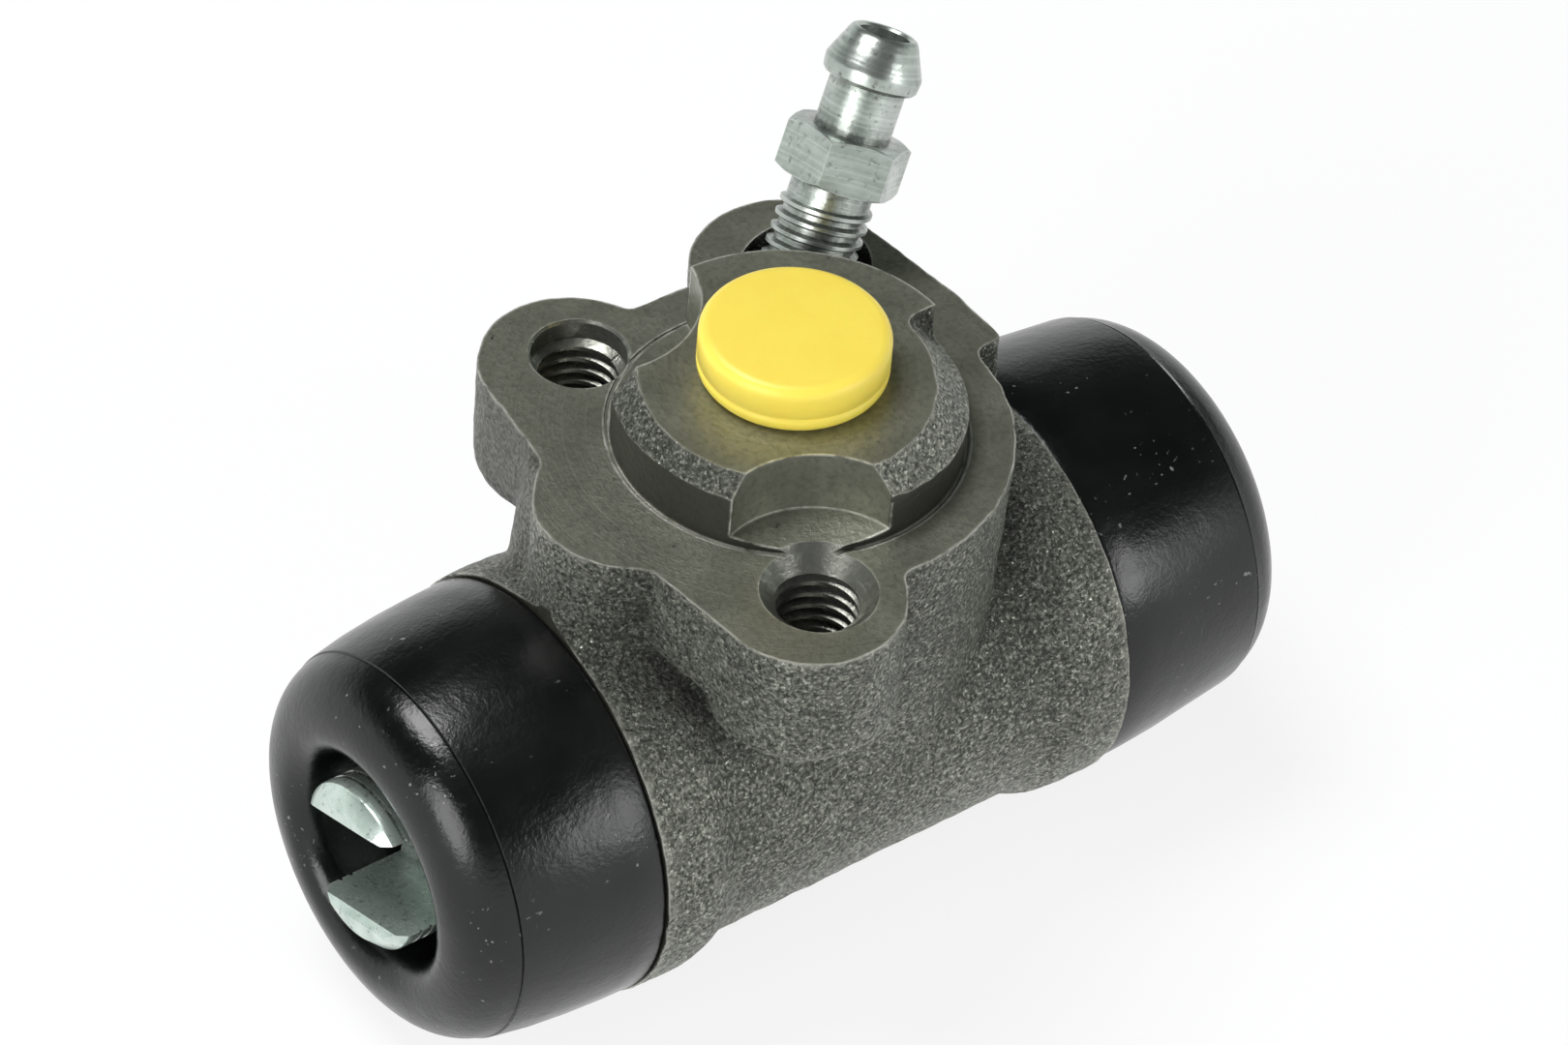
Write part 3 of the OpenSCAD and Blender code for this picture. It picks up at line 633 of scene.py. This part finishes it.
# %% Hollows between the lobes
def hollow(name, p, rp, q, rq, f):
    """A web between two round lobes, hollowed by a circle of radius f that touches both."""
    p, q = Vector(p), Vector(q)
    d = (q - p).length
    a = (d * d + (rp + f) ** 2 - (rq + f) ** 2) / (2 * d)
    h = math.sqrt((rp + f) ** 2 - a * a)
    u = (q - p) / d
    m = p + a * u + h * Vector((-u.y, u.x))
    start = math.degrees(math.atan2(p.y - m.y, p.x - m.x))
    end = math.degrees(math.atan2(q.y - m.y, q.x - m.x))
    end += 360 * round((start - end) / 360)
    return prism(name, [tuple(p)] + arc(m.x, m.y, f, start, end, 12) + [tuple(q)], PLATE_FOOT, STOCK)


raw.append(hollow("back_hollow", BLEED_LOBE, BLEED_LOBE_R, LEFT_LOBE, LOBE_R, 7.5))
raw.append(hollow("front_hollow", FRONT_LOBE, LOBE_R, (0, 0), FLANGE_R, 4.0))
print("hollows drawn")

# %% Boss with its cast bevel, and the thick metal round the bleed drilling
BOSS_ROOT, BOSS_STOCK = -2, 8.5
BEVEL_AXIS, BEVEL_R, BEVEL_FOOT, BEVEL_TOP_R = (-0.9, -0.5), 17.2, 0.3, 10.7
FULL_R, FULL_SWEEP = 16.2, 118
THICK_R, THICK_LOW, THICK_HIGH = 7, -19, -4
cone = [(0, BOSS_ROOT), (BEVEL_R, BOSS_ROOT), (BEVEL_R, BEVEL_FOOT), (BEVEL_TOP_R, BOSS_STOCK),
        (0, BOSS_STOCK)]
raw.append(turned("boss_cone", cone, "Z", BEVEL_AXIS))
raw.append(prism("boss_full", [(0, 0)] + arc(0, 0, FULL_R, 0, FULL_SWEEP, 16), BOSS_ROOT, BOSS_STOCK))
BLEED = Matrix.Translation(SCREW_FOOT) @ Matrix.Rotation(TURN, 4, "Z") @ Matrix.Rotation(TILT, 4, "Y")
thick = [(0, THICK_LOW), (THICK_R, THICK_LOW), (THICK_R, THICK_HIGH), (0, THICK_HIGH)]
raw.append(put(turned("bleed_sleeve", thick, steps=48), BLEED))
print("raw solids:", len(raw))

# %% One skin, softened and a little uneven
only(raw[0])
for part in raw[1:]:
    part.select_set(True)
bpy.ops.object.join()
body = named("casting")
skin = body.modifiers.new("skin", "REMESH")
skin.mode = "VOXEL"
skin.voxel_size = 0.45
bpy.ops.object.modifier_apply(modifier=skin.name)
soften = body.modifiers.new("soften", "SMOOTH")
soften.factor = 0.5
soften.iterations = 11
bpy.ops.object.modifier_apply(modifier=soften.name)
sand = bpy.data.textures.new("sand", "CLOUDS")
sand.noise_scale = 2.2
uneven = body.modifiers.new("uneven", "DISPLACE")
uneven.texture = sand
uneven.strength = 0.3
uneven.mid_level = 0.8
bpy.ops.object.modifier_apply(modifier=uneven.name)
thin = body.modifiers.new("thin", "DECIMATE")
thin.ratio = 0.5
bpy.ops.object.modifier_apply(modifier=thin.name)
print("raw casting faces:", len(body.data.polygons))

# %% [markdown]
# ## Machining
# On the real part the casting is faced, turned, drilled and bored. The cut faces could be drawn
# into the mesh, but here each tool is a closed solid, and a Boolean takes it away from the casting.
# The tools carry the finish that they leave, so a cut face knows that it was turned or freshly cut.
# The raw skin stays soft and the cut edges stay crisp, as on the real part.

# %% Helpers that cut
def painted(piece, materials, which=0):
    piece.data.materials.clear()
    for material in materials:
        piece.data.materials.append(material)
    for face in piece.data.polygons:
        face.material_index = which
    return piece


def combine(piece, tool, operation, which=0):
    """Joins a tool to a piece, or cuts it away; its faces bring the piece's finish of that number."""
    painted(tool, list(piece.data.materials), which)
    only(piece)
    change = piece.modifiers.new("change", "BOOLEAN")
    change.object = tool
    change.operation = operation
    change.solver = "MANIFOLD"
    bpy.ops.object.modifier_apply(modifier=change.name)
    print(operation.lower(), tool.name, "faces now", len(piece.data.polygons))
    bpy.data.objects.remove(tool)


def cut(piece, tool, which=0):
    combine(piece, tool, "DIFFERENCE", which)


CAST, TURNED, FRESH = 0, 1, 2
painted(body, [cast_iron, turned_iron, fresh_cut])
print("finishes on the casting:", [m.name for m in body.data.materials])

# %% Mounting face, spigot and boss top
CLEAR, FACE_REACH, TOP_REACH = 12, 45, 30
BOSS_TOP, UNDERCUT_W, UNDERCUT_DEPTH = 6.6, 0.4, 0.2
foot_r = SPIGOT_R + UNDERCUT_W
facing = [(SPIGOT_R, CLEAR), (SPIGOT_R, -UNDERCUT_DEPTH), (foot_r, -UNDERCUT_DEPTH), (foot_r, 0),
          (FACE_REACH, 0), (FACE_REACH, CLEAR)]
cut(body, turned("facing_tool", facing, steps=128), TURNED)
topping = [(0, BOSS_TOP), (TOP_REACH, BOSS_TOP), (TOP_REACH, CLEAR), (0, CLEAR)]
cut(body, turned("boss_tool", topping, steps=64), TURNED)

# %% Spot faces round the bolt holes
SPOT_FLOOR, LEFT_SPOT_R, FRONT_SPOT_R, SPOT_DISH = 0.25, 9.6, 8.7, 0.85
left_spot = [(0, SPOT_FLOOR), (LEFT_SPOT_R, SPOT_FLOOR), (LEFT_SPOT_R, CLEAR), (0, CLEAR)]
front_spot = [(0, SPOT_FLOOR), (4, SPOT_FLOOR), (FRONT_SPOT_R, SPOT_DISH), (FRONT_SPOT_R, CLEAR), (0, CLEAR)]
cut(body, turned("left_spot_tool", left_spot, "Z", BOLTS["left"]), TURNED)
cut(body, turned("front_spot_tool", front_spot, "Z", BOLTS["front"]), TURNED)

# %% Bolt holes at the size of the thread's crests
DRILL_R, DRILL_DEPTH, DRILL_TIP = 3.35, -9, -11
COUNTER_SINK_R, LEFT_SINK_R, FRONT_SINK_R, SINK_TOP = 4.0, 5.2, 5.8, 1
point = [(0, DRILL_TIP), (DRILL_R, DRILL_DEPTH)]
left_drill = point + [(DRILL_R, -2.3), (COUNTER_SINK_R, -1.9), (COUNTER_SINK_R, -0.2),
                      (LEFT_SINK_R, SINK_TOP), (LEFT_SINK_R, CLEAR), (0, CLEAR)]
front_drill = point + [(DRILL_R, -1.45), (FRONT_SINK_R, SINK_TOP), (FRONT_SINK_R, CLEAR), (0, CLEAR)]
cut(body, turned("left_drill", left_drill, "Z", BOLTS["left"], 64), FRESH)
cut(body, turned("front_drill", front_drill, "Z", BOLTS["front"], 64), FRESH)

# %% [markdown]
# ## Threads
# A thread is a small tooth swept along a helix. Rings in the relief would do from far away,
# but these threads are seen from the side. The Screw modifier does the sweep, one pitch for each turn,
# and the two open ends are filled. In the bolt holes the tooth is a tool, so it leaves a real tapped thread.

# %% Helper that sweeps a tooth
PITCH, TOOTH_W = 1.25, 1.14
TAP_ROOT_R, TAP_CREST_R, TAP_LOW, TAP_FLAT = 3.1, 3.98, -8.84, 0.13


def swept(piece, offset, turns, axis="Z", steps=40):
    """A closed outline carried along a helix, with its two ends filled."""
    only(piece)
    sweep = piece.modifiers.new("sweep", "SCREW")
    sweep.axis = axis
    sweep.angle = 2 * math.pi
    sweep.screw_offset = offset
    sweep.iterations = turns
    sweep.steps = sweep.render_steps = steps
    sweep.use_merge_vertices = True
    sweep.merge_threshold = 0.001
    bpy.ops.object.modifier_apply(modifier=sweep.name)
    bpy.ops.object.mode_set(mode="EDIT")
    bpy.ops.mesh.select_all(action="DESELECT")
    bpy.ops.mesh.select_mode(type="EDGE")
    bpy.ops.mesh.select_non_manifold()
    bpy.ops.mesh.fill_holes(sides=0)
    bpy.ops.mesh.select_mode(type="VERT")
    close_up()
    return piece


def tooth(name, root, crest, low, turns, flat):
    """A thread from the height low, with a flat of that width on its crest."""
    rise = (TOOTH_W - flat) / 2
    outline = [(root, 0, low), (crest, 0, low + rise), (crest, 0, low + rise + flat),
               (root, 0, low + TOOTH_W)]
    return swept(draw_line(name, outline), PITCH, turns)


for side, turns in (("left", 5), ("front", 6)):
    tap = tooth(side + "_tap", TAP_ROOT_R, TAP_CREST_R, TAP_LOW, turns, TAP_FLAT)
    cut(body, put(tap, Matrix.Translation((*BOLTS[side], 0))), FRESH)

# %% Inlet and bleed drilling
INLET_R, INLET_SINK_R, INLET_FLOOR = 5, 6.4, -5
DRILLING_R, COUNTER_R, DRILLING_DEPTH, DRILLING_CLEAR = 4, 5.3, -13, 8
inlet = [(0, INLET_FLOOR), (INLET_R, INLET_FLOOR), (INLET_R, BOSS_TOP - 0.4), (INLET_SINK_R, BOSS_TOP + 1),
         (INLET_SINK_R, CLEAR), (0, CLEAR)]
cut(body, turned("inlet_drill", inlet, steps=48), FRESH)
drilling = [(0, DRILLING_DEPTH), (DRILLING_R, DRILLING_DEPTH), (DRILLING_R, -3), (COUNTER_R, -2.2),
            (COUNTER_R, DRILLING_CLEAR), (0, DRILLING_CLEAR)]
cut(body, put(turned("bleed_drill", drilling, steps=64), BLEED), CAST)

# %% Bore and boot necks
BORE_R, MOUTH_R, MOUTH_X = 11.1, 13.1, 32
NECK_R, GROOVE_DEPTH, GROOVE_X, GROOVE_END, SHOULDER_X, NECK_CLEAR = 15, 1.2, 25.5, 28.1, 23.6, 40
flare_x = MOUTH_X - 2.6
bore = [(0, -MOUTH_X), (MOUTH_R, -MOUTH_X), (BORE_R, -flare_x), (BORE_R, flare_x), (MOUTH_R, MOUTH_X),
        (0, MOUTH_X)]
cut(body, turned("bore_tool", bore, "X"), TURNED)
groove_r = NECK_R - GROOVE_DEPTH
neck = [(NECK_R, NECK_CLEAR), (NECK_R, GROOVE_END), (groove_r, GROOVE_END), (groove_r, GROOVE_X),
        (NECK_R, GROOVE_X), (NECK_R, SHOULDER_X), (NECK_CLEAR, SHOULDER_X), (NECK_CLEAR, NECK_CLEAR)]
for side in (-1, 1):
    cut(body, turned("neck_tool", [(r, side * x) for r, x in neck], "X"), TURNED)

# %% Trim the thread-sized slivers
def trimmed(piece):
    only(piece)
    bpy.ops.object.mode_set(mode="EDIT")
    bpy.ops.mesh.select_all(action="SELECT")
    bpy.ops.mesh.remove_doubles(threshold=0.03)
    bpy.ops.mesh.dissolve_degenerate(threshold=0.01)
    bpy.ops.object.mode_set(mode="OBJECT")
    print(piece.name, "trimmed to", len(piece.data.polygons), "faces")


trimmed(body)

# %% Place the casting
settle(body)
smooth(body, 28)
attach(body, "housing")
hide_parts("cylinder_body")

# %% [markdown]
# ## Boots
# A boot is one rubber moulding. Its rim grips the neck, its wall tapers to a parting line where the mould
# closed, and its front rolls over into a hole with a sleeve that turns back to a lip on the piston's nose.
# When a piston moves, the real wall stretches between the body and the nose. A cloth simulation could
# stretch it, but here the outside is one fixed piece.
# The sleeve goes with the nose alone, so it is a piece of its own that meets the roll inside the hole.

# %% Sections of a boot
RIM_X, GRIP_R, WALL_R, PART_R = 23.7, 15.1, 18.3, 17.05
ROLL, HOLE_R, SLEEVE_R, SEAM = 5.4, 9.3, 10.6, 3.1
LIP_R, LIP_W, LIP_BACK = 6.5, 1.8, 11.0


def boot_outside(front):
    """Section of the outer boot whose front stands at that distance from the middle."""
    roll_x, roll_r = front - ROLL, PART_R - ROLL
    lip = roll_r - HOLE_R
    wall = [(WALL_R - 0.4, RIM_X), (WALL_R - 0.1, RIM_X + 0.1), (WALL_R, RIM_X + 0.4),
            (WALL_R - 0.08, RIM_X + 3), (WALL_R - 0.3, RIM_X + 6.5), (WALL_R - 0.66, RIM_X + 9.8)]
    parting = [(PART_R + 0.12, roll_x + 0.5), (PART_R + 0.02, roll_x + 1.0), (PART_R - 0.17, roll_x + 1.1),
               (PART_R - 0.1, roll_x + 1.25)]
    front_roll = arc(roll_r, roll_x, ROLL, 16, 90, 14) + arc(roll_r, front - lip, lip, 90, 180, 10)[1:]
    seam_x = front - SEAM
    inside = [(HOLE_R, seam_x), (SLEEVE_R, seam_x), (SLEEVE_R + 0.7, front - 2.2),
              (roll_r + 1.6, front - 2.4), (PART_R - 2.3, roll_x + 0.6), (GRIP_R, 30.8)]
    bead_r = GRIP_R - 1.2
    bead = [(GRIP_R, 28.0), (bead_r, 28.0), (bead_r, 25.6), (GRIP_R, 25.6), (GRIP_R, RIM_X)]
    return wall + parting + front_roll + inside + bead


def boot_sleeve(front):
    """Section of the sleeve inside the hole, back to its lip on the nose."""
    seam_x, lip_x = front - SEAM, front - LIP_BACK
    return [(HOLE_R, seam_x), (HOLE_R, lip_x + 2.2), (HOLE_R - 0.4, lip_x + LIP_W), (LIP_R, lip_x + LIP_W),
            (LIP_R, lip_x), (SLEEVE_R - 0.8, lip_x), (SLEEVE_R, lip_x + 0.8), (SLEEVE_R, seam_x)]


print("boot sections ready")


def boot(end, side):
    front = 1000 * max(abs(corner.x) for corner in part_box("dust_boot_" + end))
    outside = turned(end + "_boot", [(r, side * x) for r, x in boot_outside(front)], "X", steps=144)
    sleeve = turned(end + "_boot_sleeve", [(r, side * x) for r, x in boot_sleeve(front)], "X")
    for piece in (outside, sleeve):
        painted(piece, [boot_rubber])
        settle(piece)
        smooth(piece, 40)
        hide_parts("dust_boot_" + end)
    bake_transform(outside)
    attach(sleeve, end + "_piston")


boot("left", -1)
boot("right", 1)

# %% [markdown]
# ## Pistons
# Each piston is a turned slug with a guided skirt and a slimmer nose, and a slot is milled across the nose
# for the brake shoe. The slot's edges could be bevelled afterwards, but the slot's tool flares at its mouth,
# so it leaves the narrow chamfer that shines there.

# %% Sections of a piston
NOSE, STACK_SHIFT, SLOT_TURN = 43.2, 0.9, 19
SKIRT_R, RELIEF_R, NOSE_R, LIP_SEAT_R, LINE_R = 11.05, 10.7, 7.4, 6.4, 7.15
SLOT_HALF, SLOT_FLOOR, SLOT_FLARE, SLOT_CLEAR = 4.2, 34.2, 42.65, 44.2
skirt = [(0, 15), (SKIRT_R - 0.6, 15), (SKIRT_R, 15.6), (SKIRT_R, 19.9), (RELIEF_R, 20.3), (RELIEF_R, 23.7),
         (SKIRT_R, 24.1), (SKIRT_R, 28), (SKIRT_R - 1, 29)]
nose = [(NOSE_R, 29), (NOSE_R, 30.9), (LIP_SEAT_R, 30.9), (LIP_SEAT_R, 32.9), (NOSE_R, 32.9)]
for line_x in (NOSE - 3.6, NOSE - 2.6):
    nose += [(NOSE_R, line_x), (LINE_R, line_x + 0.05), (LINE_R, line_x + 0.3), (NOSE_R, line_x + 0.35)]
nose += [(NOSE_R, NOSE - 1.42), (7.33, NOSE - 1.22), (6.18, NOSE - 0.07), (6.0, NOSE), (0, NOSE)]
flare_half = SLOT_HALF + SLOT_CLEAR - SLOT_FLARE
half_slot = [(SLOT_FLOOR, SLOT_HALF - 0.6), (SLOT_FLOOR + 0.6, SLOT_HALF), (SLOT_FLARE, SLOT_HALF),
             (SLOT_CLEAR, flare_half)]
slot_plan = [(x, -w) for x, w in half_slot] + half_slot[::-1]
print("piston sections ready:", len(skirt + nose), "points")

# %% Make both pistons
SLOT_REACH = 12


def piston(end, side):
    def along(x):
        return STACK_SHIFT + side * x

    piece = turned(end + "_piston", [(r, along(x)) for r, x in skirt + nose], "X", steps=128)
    painted(piece, [piston_zinc])
    tool = prism("slot_tool", [(along(x), w) for x, w in slot_plan], -SLOT_REACH, SLOT_REACH)
    across = Matrix.Rotation(math.radians(90 - SLOT_TURN), 4, "X")
    cut(piece, put(tool, Matrix.Translation((0, AXIS_Y, AXIS_Z)) @ across))
    settle(piece)
    smooth(piece, 25)
    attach(piece, end + "_piston")
    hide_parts("piston_" + end)


piston("left", -1)
piston("right", 1)

# %% [markdown]
# ## Return spring
# A coil of wire between the pistons keeps the cups apart. It could be one long sweep, but it is squeezed
# from both ends while its middle stays put. So it is two like halves, each swept along three turns.

# %% Make the two halves
WIRE_R, COIL_R, HALF_REACH, HALF_TURNS, WIRE_SIDES = 0.65, 6.0, 10.75, 3, 12
angles = [math.tau * i / WIRE_SIDES for i in range(WIRE_SIDES)]
wire = [(WIRE_R * math.sin(a), COIL_R + WIRE_R * math.cos(a), 0) for a in angles]
right_half = swept(draw_line("right_spring", wire), HALF_REACH / HALF_TURNS, HALF_TURNS, "X", 32)
painted(right_half, [spring_wire])
only(right_half)
bpy.ops.object.duplicate()
left_half = named("left_spring")
middle = Matrix.Translation((STACK_SHIFT, AXIS_Y, AXIS_Z))
settle(right_half, middle)
settle(left_half, middle @ Matrix.Rotation(math.pi, 4, "Y"))
for end, side, piece in (("left", -1, left_half), ("right", 1, right_half)):
    smooth(piece, 60)
    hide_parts("return_spring")
    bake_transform(piece)

# %% [markdown]
# ## Bleed screw
# The screw closes the highest point of the bore with a cone. It is turned from hexagon bar: a thread,
# a plain collar, the hexagon that a spanner turns, a waist, and a barbed nipple with a hole down its middle.
# It could be modelled where it leans, but it is simpler to draw it upright at the origin
# and to lean it over last.

# %% Core and thread
CONE_END, SEAT_R, STEM_R, PLAIN_R, WAIST_R, BARB_R, BARB_FOOT = -15.5, 2.9, 3.4, 3.5, 3.25, 4.15, 16.6
MOUTH_HOLE_R, PASSAGE_R, PASSAGE_END = 2.2, 1.5, -11.5
core = [(0, CONE_END), (1.3, CONE_END), (SEAT_R, -13.9), (SEAT_R, -11.2), (STEM_R, -10.7), (STEM_R, 5.2),
        (PLAIN_R, 5.4), (PLAIN_R, 8.0), (WAIST_R, 8.2), (WAIST_R, BARB_FOOT - 0.2)]
barb = [(3.45, BARB_FOOT), (3.85, BARB_FOOT), (4.05, 16.85), (BARB_R, 17.8), (4.1, 18.05), (3.02, 20.5),
        (2.8, 20.82), (2.55, 20.95), (2.35, 20.9)]
down_hole = [(MOUTH_HOLE_R, 20.7), (MOUTH_HOLE_R, 18.6), (PASSAGE_R, 17.6), (PASSAGE_R, PASSAGE_END),
             (0, PASSAGE_END)]
screw = painted(turned("bleed_screw", core + barb + down_hole, steps=96), [screw_zinc])
SCREW_ROOT_R, SCREW_CREST_R, SCREW_LOW, SCREW_TURNS, SCREW_FLAT = 3.1, 3.9, -10.8, 13, 0.3
thread = tooth("screw_thread", SCREW_ROOT_R, SCREW_CREST_R, SCREW_LOW, SCREW_TURNS, SCREW_FLAT)
combine(screw, thread, "UNION")

# %% Hexagon
HEX_FOOT, HEX_TOP, CORNER_R, HEX_TURN = 7.7, 12.1, 9.5 / math.sqrt(3), 8
TURNED_R, TURNED_H = 4.85, 0.42


def softened(piece, width):
    """Breaks the sharp edges of a piece."""
    only(piece)
    broken = piece.modifiers.new("broken", "BEVEL")
    broken.width = width
    broken.segments = 2
    broken.limit_method = "ANGLE"
    broken.angle_limit = math.radians(40)
    bpy.ops.object.modifier_apply(modifier=broken.name)


corners = [math.radians(HEX_TURN + 60 * i) for i in range(6)]
hex_plan = [(CORNER_R * math.cos(a), CORNER_R * math.sin(a)) for a in corners]
hexagon = painted(prism("hexagon", hex_plan, HEX_FOOT, HEX_TOP), [screw_zinc])
lathe = [(0, HEX_FOOT), (TURNED_R, HEX_FOOT), (CORNER_R + 0.1, HEX_FOOT + TURNED_H),
         (CORNER_R + 0.1, HEX_TOP - TURNED_H), (TURNED_R, HEX_TOP), (0, HEX_TOP)]
combine(hexagon, turned("turned_corners", lathe), "INTERSECT")
softened(hexagon, 0.1)
combine(screw, hexagon, "UNION")

# %% Place the screw
trimmed(screw)
settle(screw, BLEED)
smooth(screw, 30)
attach(screw, "bleeder")
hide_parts("bleeder_screw")

# %% [markdown]
# ## Transit plug
# A plastic plug keeps dirt out of the inlet until the brake pipe is fitted. Its head has rounded edges and
# a shallow line round its side where the two halves of the mould met.
# A bevelled cylinder would lack that line, so the whole section is drawn and turned.

# %% Make the plug
SEAT, HEAD_R, HEAD_H, EDGE_R = BOSS_TOP, 7.85, 4.6, 1.0
SHANK_R, SHANK_DEPTH, LINE_DEPTH = 4.9, 7, 0.14
line_r = HEAD_R - LINE_DEPTH
head = arc(HEAD_R - EDGE_R, SEAT + EDGE_R, EDGE_R, -90, 0, 8)
head += [(HEAD_R, SEAT + 1.35), (line_r, SEAT + 1.47), (line_r, SEAT + 1.6), (HEAD_R, SEAT + 1.75)]
head += arc(HEAD_R - EDGE_R, SEAT + HEAD_H - EDGE_R, EDGE_R, 0, 90, 8)
shank_end = SEAT - SHANK_DEPTH
shank = [(0, shank_end), (SHANK_R - 0.8, shank_end), (SHANK_R, shank_end + 0.8), (SHANK_R, SEAT)]
plug = painted(turned("transit_plug", shank + head + [(0, SEAT + HEAD_H)], steps=128), [yellow_plastic])
settle(plug)
smooth(plug, 50)
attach(plug, "housing")
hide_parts("inlet_plug")

# %% [markdown]
# ## Camera, floor and light
# The camera stands where the photograph was taken from, a long lens about two thirds of a metre away.
# The floor is white paper. It could be lit until it is white, but that would burn out the part as well.
# So the camera, and anything that mirrors it, sees it mostly as plain white, with a little of its real
# shading left for the soft shadow. Three soft lamps stand round the part. The sky is bright near
# the horizon and dark overhead, so that upper faces stay dark while the sides are rimmed with light.

# %% Camera
EYE = (-0.3022, -0.3644, 0.4358)
RIGHT, DOWN = Vector((0.804, -0.591, 0.063)), Vector((-0.370, -0.581, -0.725))
AHEAD = Vector((0.465, 0.560, -0.686))
bpy.ops.object.camera_add()
camera = named("camera")
aim = Matrix((RIGHT, -DOWN, -AHEAD)).transposed().to_4x4()
camera.matrix_world = Matrix.Translation(EYE) @ aim
camera.data.sensor_width = 36
camera.data.lens = 182.46
bpy.context.scene.camera = camera
print("camera at", [round(v, 3) for v in camera.location])

# %% Floor
FLOOR_SIZE, FLOOR_GAP = 6, 0.0002
PLAIN_WHITE, WHITE_SHARE = 1.04, 0.8
bpy.ops.object.select_all(action="DESELECT")
bpy.ops.mesh.primitive_plane_add(size=FLOOR_SIZE, location=(0, 0, cad_low.z - FLOOR_GAP))
floor = named("floor")
paper = Finish("paper", Roughness=0.9, Base_Color=(0.86, 0.87, 0.88))
glow = paper.lay("ShaderNodeEmission", Strength=PLAIN_WHITE)
path = paper.lay("ShaderNodeLightPath").outputs
mirrored = paper.sums("MAXIMUM", path["Is Glossy Ray"], path["Is Transmission Ray"])
seen = paper.sums("MAXIMUM", path["Is Camera Ray"], mirrored)
blend = paper.lay("ShaderNodeMixShader", Fac=paper.times(seen, WHITE_SHARE))
paper.feed(blend.inputs[1], paper.shader.outputs["BSDF"])
paper.feed(blend.inputs[2], glow.outputs["Emission"])
paper.feed(paper.tree.nodes["Material Output"].inputs["Surface"], blend.outputs["Shader"])
floor.data.materials.append(paper.material)
print("floor laid at z in mm", round(1000 * floor.location.z, 2))

# %% Sky
ZENITH, HORIZON = 0.05, 1.1
world = bpy.data.worlds.new("studio")
world.use_nodes = True
bpy.context.scene.world = world
sky = Nodes(world.node_tree)
background = sky.tree.nodes["Background"]
sky.feed(background.inputs["Color"], (0.93, 1, 0.96))
path = sky.lay("ShaderNodeLightPath").outputs
seen = sky.sums("MAXIMUM", path["Is Camera Ray"], path["Is Transmission Ray"])
way = sky.lay("ShaderNodeTexCoord").outputs["Generated"]
height = sky.lay("ShaderNodeSeparateXYZ", Vector=way).outputs["Z"]
light = sky.between(sky.spread(height, 0.42, 0.08), ZENITH, HORIZON)
sky.feed(background.inputs["Strength"], sky.sums("MAXIMUM", seen, light))
print("sky laid with", len(sky.tree.nodes), "nodes")

# %% Lamps
LAMP_TARGET = Vector((0, 0, -0.02))


def soft_lamp(name, where, size, power):
    bpy.ops.object.light_add(type="AREA", location=where)
    lamp = named(name)
    lamp.data.shape = "DISK"
    lamp.data.size = size
    lamp.data.energy = power
    lamp.rotation_euler = (LAMP_TARGET - Vector(where)).to_track_quat("-Z", "Y").to_euler()


soft_lamp("key_lamp", (-0.2, 0.26, 0.85), 0.5, 6.3)
soft_lamp("left_lamp", (-0.85, -0.28, 0.36), 0.6, 4.8)
soft_lamp("right_lamp", (0.40, -0.82, 0.26), 0.46, 2.5)

# %% [markdown]
# ## Finish
# Every colour is written as it is, so the view stays Standard.

# %% Colour view
bpy.context.scene.view_settings.view_transform = "Standard"
